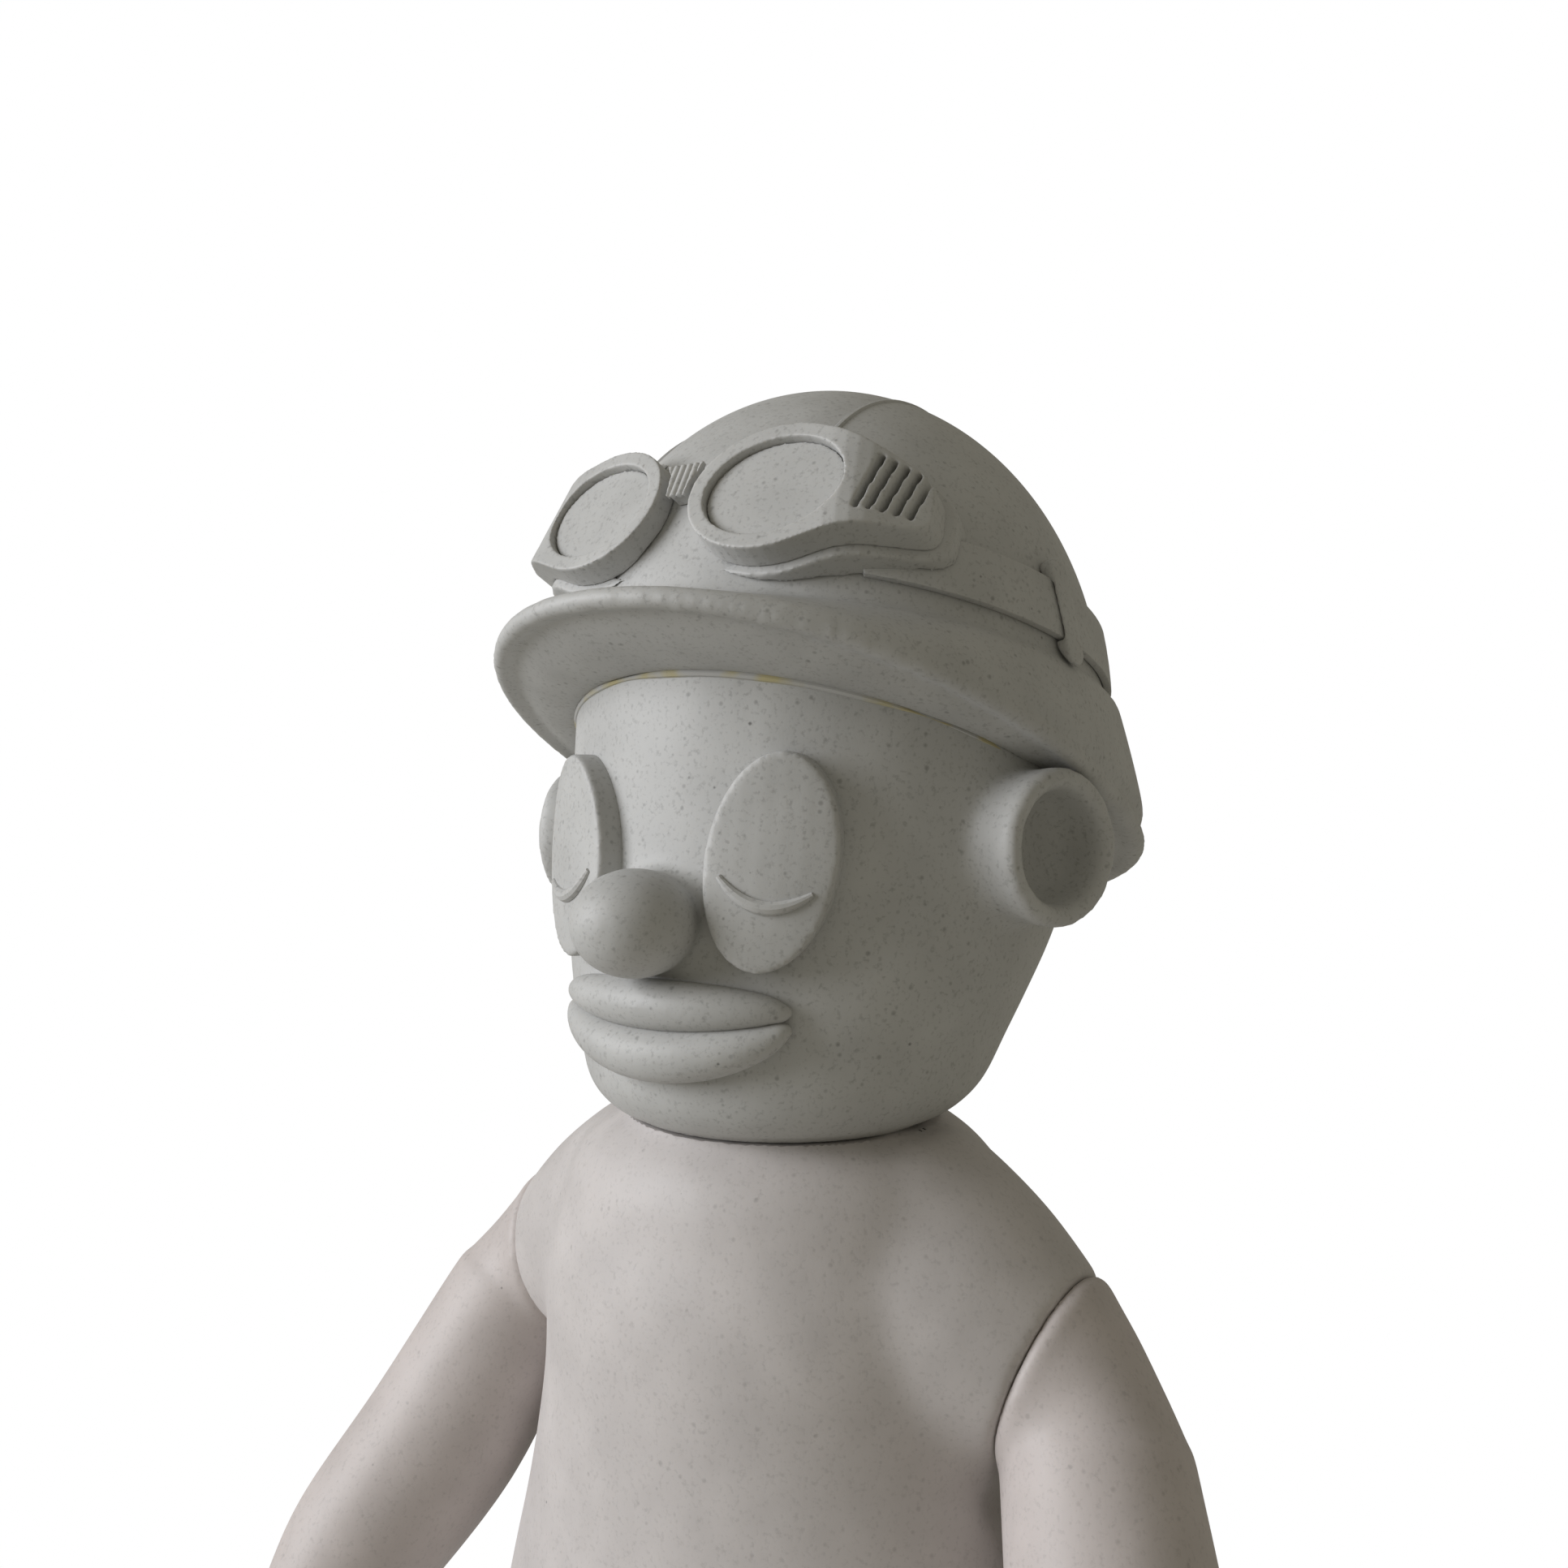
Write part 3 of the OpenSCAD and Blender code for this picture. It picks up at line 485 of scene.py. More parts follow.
def head_rings(grow=0.0, low=0.0):
    """Rings of the head from the neck up, and over the skull. low drops the first ring."""
    s = sizes()
    shares = [(0, 0.56, 0), (0.025, 0.655, 0), (0.09, 0.75, 0.06), (0.2, 0.815, 0.2), (0.32, 0.88, 0.38),
              (0.44, 0.935, 0.58), (0.6, 0.985, 0.8), (0.78, 1.003, 0.94), (1, 1, 1)]
    bottom = NECK_Z + TURN_GAP
    rings = []
    for k in range(25):
        up, wide, back = curve_through(shares, 8 * k / 24)
        rings.append((bottom + (s.crown_height - TURN_GAP) * up, s.skull * wide + grow, s.skull * wide + grow,
                      s.setback * back, 0))
    if low:
        rings.insert(0, (bottom - low, s.skull * 0.56 + grow, s.skull * 0.56 + grow, 0, 0))
    for k in range(1, 13):
        a = radians(86) * k / 12
        r = (s.skull + grow) * cos(a)
        rings.append((NECK_Z + s.crown_height + (s.skull_rise + grow) * sin(a), r, r, s.setback, 0))
    return rings


def crown_z():
    """Height of the skull's widest part."""
    return NECK_Z + sizes().crown_height


def dome():
    """Radius and height of the outside of the hat's crown above its widest part."""
    s = sizes()
    return s.skull + SKIN_GAP + s.hat_wall, s.skull_rise + SKIN_GAP + s.hat_wall


def brim_edge(a):
    """Radius of the brim's edge at angle a from the front."""
    s = sizes()
    away = abs((a + pi) % (2 * pi) - pi)
    back = min(max((away - pi / 2) / radians(48), 0), 1)
    swing = cos(2 * away) if away < pi / 2 else 2 * back * back * (3 - 2 * back) - 1
    return dome()[0] + s.brim_reach - 1.4 * MM + s.peak_extra * (0.35 + 1.4 * swing)


def about(a, r, y, z):
    """Point at angle a from the front of the hat."""
    return Vector((r * sin(a), y - r * cos(a), z))


def shoulder_place():
    """Shoulder joint and its axis on the figure's left."""
    s = sizes()
    joint = Vector((s.shoulder_x, 0, NECK_Z - s.shoulder_drop))
    return joint, Vector((cos(s.shoulder_tilt), 0, -sin(s.shoulder_tilt)))


# ---------------------------------------------------------------- pieces

class TOY_OT_torso(bpy.types.Operator):
    """Pear-shaped torso with shoulder stubs and flat hip sockets"""
    bl_idname = "toy.torso"
    bl_label = "Torso"

    def execute(self, context):
        s = sizes()
        low = LEG_TOP + TURN_GAP
        tall = NECK_Z - low
        shares = [(0, 0.845, 0.78), (0.09, 0.95, 0.94), (0.21, 1, 1), (0.36, 0.935, 0.95), (0.5, 0.855, 0.9),
                  (0.66, 0.79, 0.87), (0.79, 0.795, 0.85), (0.88, 0.74, 0.79)]
        rings = []
        for k in range(29):
            up, wide, deep = curve_through(shares, 7 * k / 28)
            rings.append((low + tall * up, s.belly * wide, s.belly_depth * deep, 0, 0))
        # The shoulders round over to the flat neck ring
        last_up, last_wide, last_deep = shares[-1]
        wider, deeper = s.belly * last_wide - s.neck_radius, s.belly_depth * last_deep - s.neck_radius
        for share in (0.18, 0.35, 0.5, 0.65, 0.78, 0.9, 1):
            out = max(cos(pi / 2 * share), 0) ** 1.35
            rings.append((low + tall * (last_up + (1 - last_up) * sin(pi / 2 * share)),
                          s.neck_radius + wider * out, s.neck_radius + deeper * out, 0, 0))
        rings.insert(0, (low - 3 * MM, rings[0][1], rings[0][2], 0, 0))
        rings.append((NECK_Z + 3 * MM, s.neck_radius, s.neck_radius, 0, 0))
        parts = [drawn_up("torso", rings, 128)]
        joint, axis = shoulder_place()
        shoulders = [facing((joint.x * side, 0, joint.z), (axis.x * side, 0, axis.z)) for side in (1, -1)]
        for side, place in zip((1, -1), shoulders):
            cone = [(along * MM, s.shoulder + more * MM, s.shoulder + more * MM, 0, 0)
                    for along, more in ((-22, 7), (-17, 6.2), (-12, 4.9), (-8, 3.6), (-4, 1.9),
                                        (0, 0), (3, -1.5))]
            parts.append(placed(drawn_up("stub", cone), place))
            socket = drawn_up("socket", [(z, s.leg, s.leg, 0, 0) for z in (low - 3 * MM, low + 7 * MM)])
            parts.append(placed(socket, Matrix.Translation((s.hip_x * side, 0, 0))))
        torso = softened(joined("torso", parts), 0.85 * MM, 34)
        # Flat shoulder faces, with room round them for the arms to turn in
        flat, deep = s.shoulder + 4.5 * MM, 25 * MM
        for place in shoulders:
            room = drawn_up("room", [(0, flat, flat, 0, 0), (deep, flat + deep, flat + deep, 0, 0)], 96)
            cut_with(torso, placed(room, place))
        softened(torso, 0.62 * MM, 9)
        cut_flat(torso, (0, 0, NECK_Z), (0, 0, 1))
        cut_flat(torso, (0, 0, low), (0, 0, -1))
        finish(torso, "torso_casting", "torso", vinyl("rotocast_vinyl_body", "torso_vinyl"), "torso_shell")
        return {"FINISHED"}


class TOY_OT_head(bpy.types.Operator):
    """Egg-shaped head with a ball nose and round cupped ears, cast in one"""
    bl_idname = "toy.head"
    bl_label = "Head"

    def execute(self, context):
        s = sizes()
        parts = [drawn_up("head", head_rings(low=3 * MM), 144)]
        nose_z = NECK_Z + s.crown_height * 0.515
        nose_y = s.setback * 0.7 - s.skull * 0.963 - 5.1 * MM
        parts.append(ball("nose", (0, nose_y + 1.0 * MM, nose_z), (s.nose, 6.3 * MM, s.nose),
                          (0, -1, 0), (0, 0, 1)))
        rim = 2.7 * MM
        cup = s.ear - rim
        out = 6.5 * MM
        profile = [(-10 * MM, s.ear + 2.4 * MM), (-4 * MM, s.ear + 1.2 * MM), (0, s.ear + 0.1 * MM),
                   (3 * MM, s.ear - 0.4 * MM)]
        for k in range(9):
            a = radians(-25 + 205 * k / 8)
            profile.append((out + rim / 2 * sin(a), s.ear - rim / 2 + rim / 2 * cos(a)))
        profile += [(4.2 * MM, cup - 0.3 * MM), (2.4 * MM, cup * 0.86),
                    (1.2 * MM, cup * 0.55), (0.8 * MM, cup * 0.15)]
        ear = drawn_up("ear", [(z, r, r, 0, 0) for z, r in profile])
        ear_z = NECK_Z + s.crown_height * 0.68
        turned = radians(17)
        placed(ear, facing((s.skull * 0.94, 2.5 * MM, ear_z), (cos(turned), -sin(turned), 0)))
        parts += [ear, other_side(ear, "ear")]
        head = softened(joined("head", parts), 0.72 * MM, 9)
        cut_flat(head, (0, 0, NECK_Z + TURN_GAP), (0, 0, -1))
        finish(head, "head_casting", "head", vinyl("rotocast_vinyl_head"), "head_shell")
        return {"FINISHED"}


class TOY_OT_hat(bpy.types.Operator):
    """Dome crown and one all-round brim, peaked in front and falling to a neck flap behind"""
    bl_idname = "toy.hat"
    bl_label = "Hat"

    def execute(self, context):
        s = sizes()
        radius, rise = dome()
        base = crown_z()
        brim_y = s.setback - 2.5 * MM
        edge_x, edge_y = brim_edge(pi / 2), brim_edge(0)

        def ring(front, back, rx, ry, y=brim_y):
            tilt = -atan2(front - back, 2 * ry)
            return ((front + back) / 2 + base, rx, ry, y, tilt)

        # Heights above the skull's widest part, in front and behind, of the opening, the edge and the fold
        rim_f, rim_b, edge_f, edge_b, fold_f, fold_b = [v * MM for v in (4, -23, 12.5, -25.5, 12.5, -3.5)]
        inner, roll = s.skull - 4 * MM, 1.35 * MM
        rings = [ring(rim_f, rim_b, inner, inner, s.setback)]
        for share in (0.1, 0.25, 0.4, 0.55, 0.7, 0.84, 0.95):
            down = share ** 1.35
            # The underside is scooped out just behind the rolled edge
            scoop = (1.1 - 0.6 * (1 - share) / 0.3) * MM if share > 0.6 else 0.25 * MM
            low_f, low_b = edge_f - 2 * roll + scoop, edge_b - 2 * roll + scoop
            rings.append(ring(rim_f + (low_f - rim_f) * down, rim_b + (low_b - rim_b) * down,
                              s.skull + (edge_x - 1.6 * roll - s.skull) * share,
                              s.skull + (edge_y - 1.6 * roll - s.skull) * share,
                              brim_y + (1 - share) * 2.5 * MM))
        for a in (-115, -90, -60, -30, 0, 30, 60, 85):
            lift, out = roll * sin(radians(a)) - roll, roll * cos(radians(a)) - roll
            rings.append(ring(edge_f + lift, edge_b + lift, edge_x + out, edge_y + out))
        fold = radius + 0.6 * MM
        for share in (0.08, 0.22, 0.36, 0.5, 0.64, 0.78, 0.9, 1.0):
            up = share ** 0.8
            rings.append(ring(edge_f + (fold_f - edge_f) * up, edge_b + (fold_b - edge_b) * up,
                              edge_x + (fold - edge_x) * share, edge_y + (fold - edge_y) * share,
                              brim_y + 2.5 * MM * share))
        rings.append(ring(fold_f + 1.5 * MM, fold_b + 2 * MM, inner, inner, s.setback))
        brim = drawn_up("brim", rings, 240)
        self.flare(brim, brim_y, edge_x, edge_y)

        crown = ball("crown", (0, s.setback, base), (radius, radius, rise), segments=160)
        slope = Vector((0, rim_f - rim_b, 2 * s.skull)).normalized()
        cut_flat(crown, (0, s.setback, base + (rim_f + rim_b) / 2 + 1.5 * MM), -slope)
        hat = softened(joined("hat", [brim, crown]), 0.56 * MM, 18)

        cut_with(hat, drawn_up("cavity", head_rings(SKIN_GAP), 72))
        seams = [self.seam(x) for x in (13.5 * MM, -13.5 * MM)]
        hat = joined("hat", [hat] + seams)
        finish(hat, "hat_casting", "head", vinyl("rotocast_vinyl_hat"), "hat_shell")
        return {"FINISHED"}

    def flare(self, brim, brim_y, edge_x, edge_y):
        """Pulls the brim out behind the ears, where its plan leaves the ellipse that it was drawn up as."""
        inner = sizes().skull
        for vertex in brim.data.vertices:
            x, y = vertex.co.x, vertex.co.y - brim_y
            a, r = atan2(x, -y), sqrt(x * x + y * y)
            oval = 1 / sqrt((sin(a) / edge_x) ** 2 + (cos(a) / edge_y) ** 2)
            if r > inner:
                wanted = inner + (brim_edge(a) - inner) * (r - inner) / (oval - inner)
                vertex.co.x, vertex.co.y = x * wanted / r, y * wanted / r + brim_y

    def seam(self, x):
        """Raised panel line from the front of the crown to its back."""
        radius, rise = dome()
        rows = []
        flat = sqrt(1 - (x / radius) ** 2)
        steps, front, back = 21, -52, 85
        for k in range(steps + 1):
            a = radians(front + (back - front) * k / steps)
            rows.append((x, sizes().setback + radius * flat * sin(a),
                         crown_z() + rise * flat * cos(a) - 0.25 * MM,
                         0.45 * MM if 0 < k < steps else 0.1 * MM))
        return rolled("seam", rows, 3 * steps, 12)


class TOY_OT_glue(bpy.types.Operator):
    """Thin line of dried glue between the hat and the head"""
    bl_idname = "toy.glue"
    bl_label = "Glue line"

    def execute(self, context):
        s = sizes()
        count = 96
        rows = []
        for k in range(count + 1):
            a = 2 * pi * k / count
            back = (1 - cos(a)) / 2
            z = crown_z() + (4 - 27 * back) * MM
            swell = 0.18 * sin(5 * a) + 0.12 * sin(11 * a + 1) + 0.1 * sin(17 * a + 2)
            out = s.skull * (1 - 0.02 * back) - 0.15 * MM
            rows.append((*about(a, out, s.setback * (1 - 0.1 * back), z - 0.1 * MM),
                         (0.42 + 0.5 * max(swell, -0.4)) * MM))
        glue = rolled("glue", rows, count * 2, 12)
        finish(glue, "brim_glue_line", "head", dried_glue("dried_cyanoacrylate_glue", finish_of().glue))
        return {"FINISHED"}


class TOY_OT_face(bpy.types.Operator):
    """Plain eye plates with closed lids, and a calm mouth of two soft rolls"""
    bl_idname = "toy.face"
    bl_label = "Face"

    def execute(self, context):
        s = sizes()
        material = vinyl("rotocast_vinyl_face")
        relief = 2.6 * MM
        turned, lean = radians(24), radians(10)
        eye_z = NECK_Z + s.crown_height * 0.655
        out = Vector((sin(turned), -cos(turned), 0))
        place = facing((0, s.setback * 0.9, eye_z), out) @ Matrix.Rotation(-lean, 4, "Z")
        plate = drawn_up("plate", [(z, 7.6 * MM, 12.4 * MM, 0, 0) for z in (20 * MM, 46 * MM)], 64)
        placed(plate, place)
        cut_with(plate, drawn_up("swell", head_rings(relief + 0.3 * MM), 96), "INTERSECT")
        cut_with(plate, drawn_up("under", head_rings(-1.2 * MM), 96))
        softened(plate, 0.36 * MM, 9)
        lid_rows = []
        for k in range(-8, 9):
            t = k / 8
            spot = place @ Vector((5.4 * MM * t, (-2.6 - 2.4 * (1 - t * t)) * MM, 60 * MM))
            _, where, _, _ = plate.ray_cast(spot, -out)
            lid_rows.append((*where, (0.35 + 0.5 * (1 - t * t)) * MM))
        lid = rolled("lid", lid_rows, 32, 16)
        finish(plate, "left_eye_casting", "head", material, "left_eye_plate")
        finish(other_side(plate, "plate"), "right_eye_casting", "head", material, "right_eye_plate")
        finish(lid, "left_lid_line", "head", material, "left_eye_lid")
        finish(other_side(lid, "lid"), "right_lid_line", "head", material, "right_eye_lid")

        mouth_z = NECK_Z + s.crown_height * 0.275
        half, follow = 16 * MM, s.skull * 0.87
        for name, level, full in (("upper", 0.92, 3.0 * MM), ("lower", -0.98, 3.2 * MM)):
            rows = []
            for k in range(-10, 11):
                t = k / 10
                a = half * t / follow
                fullness = sqrt(1 - 0.86 * t * t)
                rows.append((follow * sin(a) * 1.02, s.setback * 0.33 - follow * cos(a) - 0.5 * MM,
                             mouth_z + level * 3 * MM * fullness + 1.6 * MM * t * t, full * fullness))
            right, left = [(x + side * 0.9 * MM, y + 0.6 * MM, z + 0.1 * MM, radius * 0.4)
                           for side, (x, y, z, radius) in ((-1, rows[0]), (1, rows[-1]))]
            rows = [right] + rows + [left]
            lip = softened(rolled("lip", rows, 64, 32), 0.4 * MM, 4)
            finish(lip, name + "_lip_casting", "head", material, name + "_lip")
        return {"FINISHED"}


class TOY_OT_strap(bpy.types.Operator):
    """Goggle strap round the crown and the upright keepers that hold it"""
    bl_idname = "toy.strap"
    bl_label = "Strap and keepers"

    def execute(self, context):
        s = sizes()
        radius, rise = dome()
        base = crown_z()
        wide, tall = radius + SKIN_GAP, rise + SKIN_GAP
        strap = ball("strap", (0, s.setback, base), (wide, wide, tall), segments=128)
        tilt = Vector((0, 19 * MM, 2 * radius * 0.95)).normalized()
        middle = Vector((0, s.setback, base + 10.3 * MM))
        pick(strap)
        bpy.ops.object.mode_set(mode="EDIT")
        behind_goggles = Vector((0, s.setback - radius * cos(radians(43)), base))
        for point, normal in ((middle + tilt * s.strap / 2, tilt), (middle - tilt * s.strap / 2, -tilt),
                              (behind_goggles, Vector((0, -1, 0)))):
            bpy.ops.mesh.select_all(action="SELECT")
            bpy.ops.mesh.bisect(plane_co=point, plane_no=normal, clear_outer=True)
        bpy.ops.object.mode_set(mode="OBJECT")
        modify(strap, "SOLIDIFY", thickness=1.0 * MM, offset=1)
        modify(strap, "BEVEL", width=0.45 * MM, segments=3, limit_method="ANGLE", angle_limit=radians(50))
        material = vinyl("rotocast_vinyl_hat")
        finish(strap, "goggle_strap_band", "head", material, "goggle_strap")
        keeper = cast_copy("left_strap_keeper", 0.3 * MM, 10)
        finish(keeper, "left_keeper_tab", "head", material, "left_strap_keeper")
        finish(other_side(keeper, "keeper"), "right_keeper_tab", "head", material, "right_strap_keeper")
        return {"FINISHED"}


class TOY_OT_goggles(bpy.types.Operator):
    """Goggle frames with vent slots, cushions, lenses and the ribbed bridge"""
    bl_idname = "toy.goggles"
    bl_label = "Goggles"

    def execute(self, context):
        material = vinyl("pressure_cast_vinyl_goggles", bump=0.7)
        for part, voxel, rounds, label in (("goggle_cushion", 0.3 * MM, 9, "cushion_casting"),
                                           ("goggle_frame", 0.17 * MM, 9, "frame_casting"),
                                           ("goggle_lens", 0.25 * MM, 3, "lens_casting")):
            piece = cast_copy("left_" + part, voxel, rounds)
            finish(piece, "left_" + label, "head", material, "left_" + part)
            finish(other_side(piece, part), "right_" + label, "head", material, "right_" + part)
        bridge = cast_copy("goggle_bridge", 0.12 * MM, 2)
        finish(bridge, "bridge_casting", "head", material, "goggle_bridge")
        return {"FINISHED"}


class TOY_OT_arms(bpy.types.Operator):
    """Arms rounding the shoulder and bending forward into simple three-fingered hands"""
    bl_idname = "toy.arms"
    bl_label = "Arms"

    def execute(self, context):
        s = sizes()
        joint, axis = shoulder_place()
        down = Vector((0.26, -0.48, -0.83)).normalized()
        inward = (down - down.dot(axis) * axis).normalized()
        spare = 1.5 * MM
        bend, pivot, top = acos(down.dot(axis)), s.shoulder + spare, s.arm - 1 * MM
        # The rim that meets the torso is rounded, as the mould leaves it
        rows = [(*(joint + along * MM * axis), s.shoulder - less * MM, *axis)
                for along, less in ((-3, 3.6), (-1, 1.7), (0.2, 0.7), (1.1, 0.2))]
        # The bend: rings turn about a pivot below the joint, and are slimmer halfway
        for k in range(1, 7):
            t, thick = bend * k / 6, s.shoulder + (top - s.shoulder) * k / 6 - 1.1 * MM * sin(pi * k / 6)
            out, way = thick + spare, cos(t) * axis + sin(t) * inward
            rows.append((*(joint + (pivot - out * cos(t)) * inward + out * sin(t) * axis), thick, *way))
        elbow, forearm, wrist = [joint + Vector(v) * MM
                                 for v in ((13.9, -12.2, -26), (18.5, -23, -39), (20.5, -30.2, -47.5))]
        wrist_radius = 8.4 * MM
        way = (wrist - forearm).normalized()
        rows.append((*elbow, s.arm, *(down + way).normalized()))
        rows.append((*forearm, s.arm - 0.9 * MM, *way))
        rows.append((*wrist, wrist_radius, *way))
        rows.append((*(wrist + 5 * MM * way), wrist_radius - 1.5 * MM, *way))
        parts = [self.bent_tube(rows, axis.cross(inward))]

        palm_way = (Vector((-1, 0, 0)) + way.x * way).normalized()
        thumb_way = palm_way.cross(way)
        palm = wrist + 6.5 * MM * way
        parts.append(ball("palm", palm, (9 * MM, 6.2 * MM, 9.5 * MM), way, palm_way))
        for across, length, radius, curl in ((-6, 10.5, 3.3, 0.6), (0, 12, 3.5, 0.55), (6, 11, 3.3, 0.5)):
            joint_length = length / 2 * MM
            knuckle = palm + 5 * MM * way + across * MM * thumb_way
            lean = way + 0.25 * curl * palm_way + 0.05 * across * thumb_way
            middle = knuckle + joint_length * lean.normalized()
            tip = middle + joint_length * (way + curl * palm_way).normalized()
            parts.append(self.finger(knuckle, middle, tip, radius * MM))
        root = palm + 5 * MM * thumb_way - 2 * MM * way
        knuckle = root + 7 * MM * (thumb_way + 0.5 * way + 0.3 * palm_way).normalized()
        tip = knuckle + 6 * MM * (thumb_way + 1.2 * way + 0.5 * palm_way).normalized()
        parts.append(self.finger(root, knuckle, tip, 3.4 * MM))
        arm = softened(joined("arm", parts), 0.55 * MM, 14)
        cut_flat(arm, joint + 0.12 * MM * axis, -axis)
        material = vinyl("rotocast_vinyl_limbs", "limb_vinyl")
        finish(arm, "left_arm_casting", "left_arm", material, "left_arm_shell")
        finish(other_side(arm, "arm"), "right_arm_casting", "right_arm", material, "right_arm_shell")
        return {"FINISHED"}

    def bent_tube(self, rows, across):
        """A sheet rolled round rows of (x, y, z, radius, direction) into a tube, and closed at both ends."""
        deselect()
        bpy.ops.mesh.primitive_grid_add(x_subdivisions=64, y_subdivisions=70, size=1, location=(0, 0, 0))
        piece = bpy.context.object
        for vertex in piece.data.vertices:
            around, along = 2 * pi * (vertex.co.x + 0.5), vertex.co.y + 0.5
            row = curve_through(rows, (len(rows) - 1) * along)
            centre, radius, way = Vector(row[:3]), row[3], Vector(row[4:]).normalized()
            side = (across - across.dot(way) * way).normalized()
            vertex.co = centre + radius * (cos(around) * side + sin(around) * way.cross(side))
        bpy.ops.object.mode_set(mode="EDIT")
        bpy.ops.mesh.select_all(action="SELECT")
        bpy.ops.mesh.remove_doubles(threshold=0.001 * MM)
        bpy.ops.mesh.fill_holes(sides=0)
        bpy.ops.mesh.select_all(action="SELECT")
        bpy.ops.mesh.normals_make_consistent(inside=False)
        bpy.ops.object.mode_set(mode="OBJECT")
        return piece

    def finger(self, knuckle, middle, tip, radius):
        """Round finger through three points, with a blunt tip."""
        end = (tip - middle).normalized()
        rows = [(*knuckle, radius), (*middle, radius * 0.98), (*tip, radius * 0.92),
                (*(tip + 0.6 * radius * end), radius * 0.72), (*(tip + 0.9 * radius * end), radius * 0.25)]
        return rolled("finger", rows, 24, 24)


class TOY_OT_legs(bpy.types.Operator):
    """Straight legs cast in one with long rounded feet"""
    bl_idname = "toy.legs"
    bl_label = "Legs"

    def execute(self, context):
        s = sizes()
        ankle = 13 * MM
        rows = [(0, 0, LEG_TOP + 3 * MM, s.leg), (0, 0, LEG_TOP * 0.8, s.leg - 0.4 * MM),
                (0.5 * MM, 0.6 * MM, LEG_TOP * 0.55, s.leg - 1.9 * MM), (MM, MM, LEG_TOP * 0.36, ankle),
                (MM, MM, 9 * MM, ankle - 0.6 * MM)]
        leg = rolled("leg", rows, 24, 48)
        toe, heel = 52 * MM, 15 * MM
        shares = [(0, 2, 9, 2), (0.035, 9, 9.6, 8), (0.13, 13.2, 10.5, 12), (0.3, 14.8, 10, 13.4),
                  (0.48, 15.8, 8.6, 12.6), (0.66, 17.2, 7.6, 11.4), (0.83, 16, 7.2, 10.4), (0.945, 10.5, 7, 7.8),
                  (1, 2.5, 7, 2.5)]
        rings = []
        for k in range(33):
            along, wide, middle, tall = curve_through(shares, 8 * k / 32)
            rings.append(((heel + toe) * along - heel, wide * MM, tall * MM, middle * MM, 0))
        foot = drawn_up("foot", rings)
        placed(foot, Matrix.Rotation(radians(8), 4, "Z") @ Matrix.Rotation(radians(90), 4, "X"))
        whole = joined("leg", [leg, foot])
        placed(whole, Matrix.Translation((s.hip_x, 0, 0)))
        softened(whole, 0.75 * MM, 9)
        cut_flat(whole, (0, 0, 0), (0, 0, -1))
        cut_flat(whole, (0, 0, LEG_TOP), (0, 0, 1))
        material = vinyl("rotocast_vinyl_limbs", "limb_vinyl")
        finish(whole, "left_leg_casting", "left_leg", material, "left_leg_shell")
        finish(other_side(whole, "leg"), "right_leg_casting", "right_leg", material, "right_leg_shell")
        return {"FINISHED"}


class TOY_OT_plugs(bpy.types.Operator):
    """Finish of the flanged joint plugs, which stay as the frame has them"""
    bl_idname = "toy.plugs"
    bl_label = "Joint plugs"

    def execute(self, context):
        material = moulded_plastic("moulded_polyethylene_plugs", finish_of().plug)
        for node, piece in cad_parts.items():
            if node.endswith("_plug"):
                for slot in piece.material_slots:
                    slot.material = material
        return {"FINISHED"}


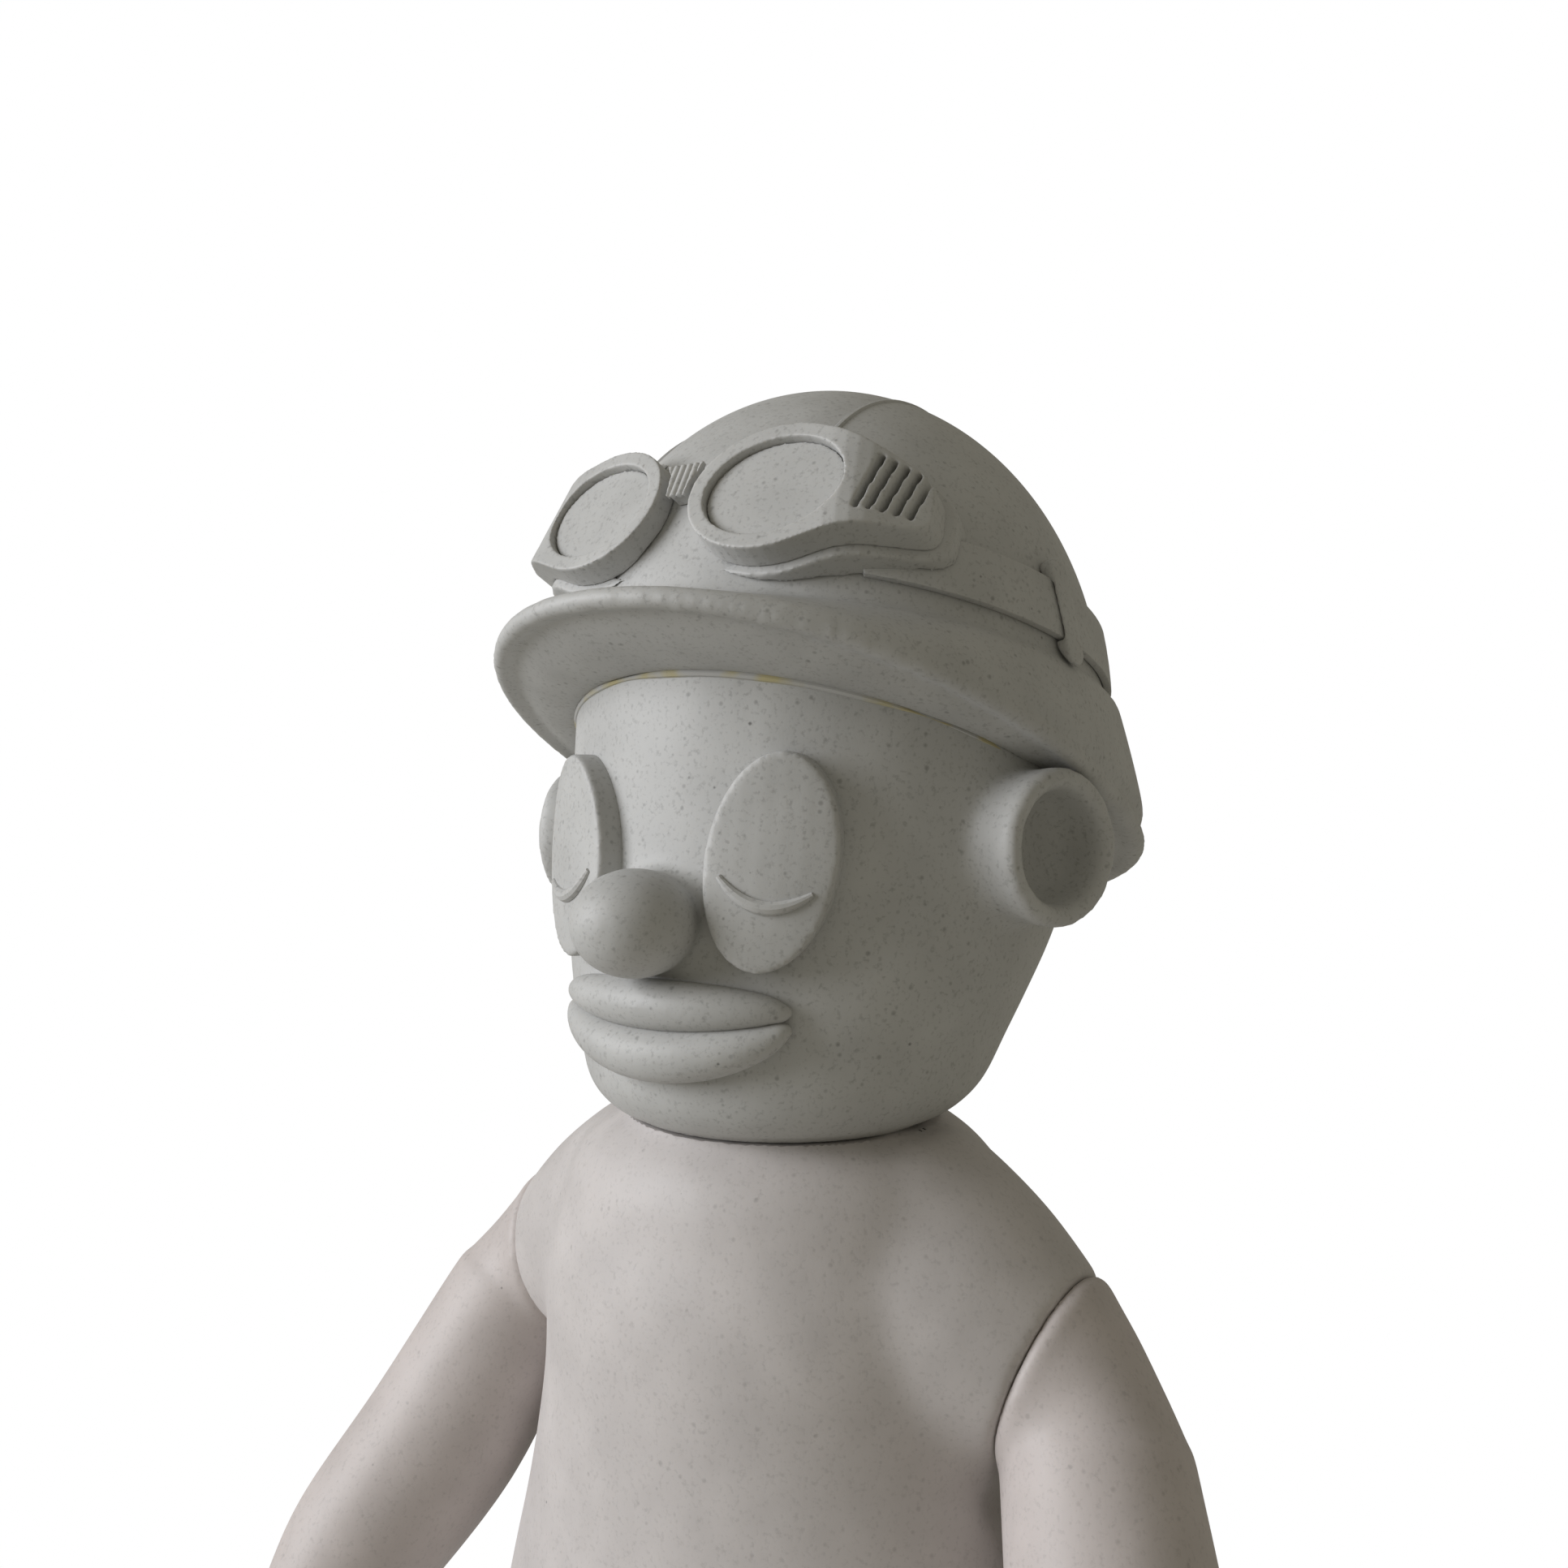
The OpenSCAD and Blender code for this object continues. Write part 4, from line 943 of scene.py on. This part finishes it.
class TOY_OT_stage(bpy.types.Operator):
    """Pale floor, soft studio light and the camera"""
    bl_idname = "toy.stage"
    bl_label = "Studio"

    def execute(self, context):
        deselect()
        floor_radius, below = 0.155, 0.05 * MM
        bpy.ops.mesh.primitive_circle_add(vertices=128, radius=floor_radius, fill_type="NGON",
                                          location=(0, 0, -below))
        floor = context.object
        floor.name = "studio_floor"
        paper = bpy.data.materials.new("matt_backdrop_paper")
        paper.use_nodes = True
        shader = paper.node_tree.nodes["Principled BSDF"]
        shader.inputs["Base Color"].default_value = (*finish_of().floor, 1)
        shader.inputs["Roughness"].default_value = 0.9
        shader.inputs["Specular IOR Level"].default_value = 0.1
        floor.data.materials.append(paper)

        # The backdrop is seen as white, and lights the figure as a dim warm room does
        world = bpy.data.worlds.new("white_studio")
        context.scene.world = world
        world.use_nodes = True
        tree = world.node_tree
        tree.nodes.clear()
        room = add(tree, "ShaderNodeBackground", {"Color": (1.0, 0.95, 0.8, 1), "Strength": 0.27})
        white = add(tree, "ShaderNodeBackground", {"Color": (1, 1, 1, 1), "Strength": 1.0})
        seen = add(tree, "ShaderNodeLightPath").outputs["Is Camera Ray"]
        both = add(tree, "ShaderNodeMixShader", in0=seen, in1=room.outputs[0], in2=white.outputs[0])
        tree.links.new(both.outputs[0], add(tree, "ShaderNodeOutputWorld").inputs["Surface"])

        self.lamp("window_softbox", (-0.58, -0.62, 0.44), (0, 0, 0.17), 0.5, 7.4)

        eye = bpy.data.cameras.new("camera")
        eye.sensor_width = 36
        focal_length = 31.677
        eye.lens = focal_length
        eye.clip_start = 0.005
        camera = bpy.data.objects.new("camera", eye)
        context.scene.collection.objects.link(camera)
        # Level with the face, and turned towards the figure's left side
        turned, distance, height = radians(35), 0.18, 0.194
        camera.location = (distance * sin(turned), -distance * cos(turned), height)
        camera.rotation_euler = (radians(90), 0, turned)
        context.scene.camera = camera
        context.scene.view_settings.view_transform = "Standard"
        return {"FINISHED"}

    def lamp(self, name, place, target, width, power):
        """Square soft light aimed at a point."""
        light = bpy.data.lights.new(name, "AREA")
        light.size = width
        light.energy = power
        light.color = (0.945, 0.957, 1.0)
        piece = bpy.data.objects.new(name, light)
        bpy.context.scene.collection.objects.link(piece)
        piece.location = place
        piece.rotation_euler = (Vector(target) - Vector(place)).to_track_quat("-Z", "Y").to_euler()


class TOY_PT_panel(bpy.types.Panel):
    """Sidebar panel with the figure's sizes, finish and pieces"""
    bl_idname = "TOY_PT_panel"
    bl_label = "Art Toy"
    bl_space_type = "VIEW_3D"
    bl_region_type = "UI"
    bl_category = "Art Toy"

    def draw(self, context):
        for group in (context.scene.toy_sizes, context.scene.toy_finish):
            column = self.layout.column()
            for key in group.__annotations__:
                column.prop(group, key)
        for piece in PIECES:
            self.layout.operator(piece.bl_idname)


PIECES = (TOY_OT_stage, TOY_OT_torso, TOY_OT_head, TOY_OT_hat, TOY_OT_glue, TOY_OT_face, TOY_OT_strap,
          TOY_OT_goggles, TOY_OT_arms, TOY_OT_legs, TOY_OT_plugs)
CLASSES = (ToySizes, ToyFinish) + PIECES + (TOY_PT_panel,)


def register():
    """Registers the classes and gives the scene their settings."""
    for cls in CLASSES:
        bpy.utils.register_class(cls)
    bpy.types.Scene.toy_sizes = bpy.props.PointerProperty(type=ToySizes)
    bpy.types.Scene.toy_finish = bpy.props.PointerProperty(type=ToyFinish)


def unregister():
    """Removes what register added."""
    del bpy.types.Scene.toy_finish
    del bpy.types.Scene.toy_sizes
    for cls in reversed(CLASSES):
        bpy.utils.unregister_class(cls)


def main():
    """Models every piece in order."""
    register()
    for piece in PIECES:
        group, name = piece.bl_idname.split(".")
        getattr(getattr(bpy.ops, group), name)()
    deselect()


if __name__ == "__main__":
    main()
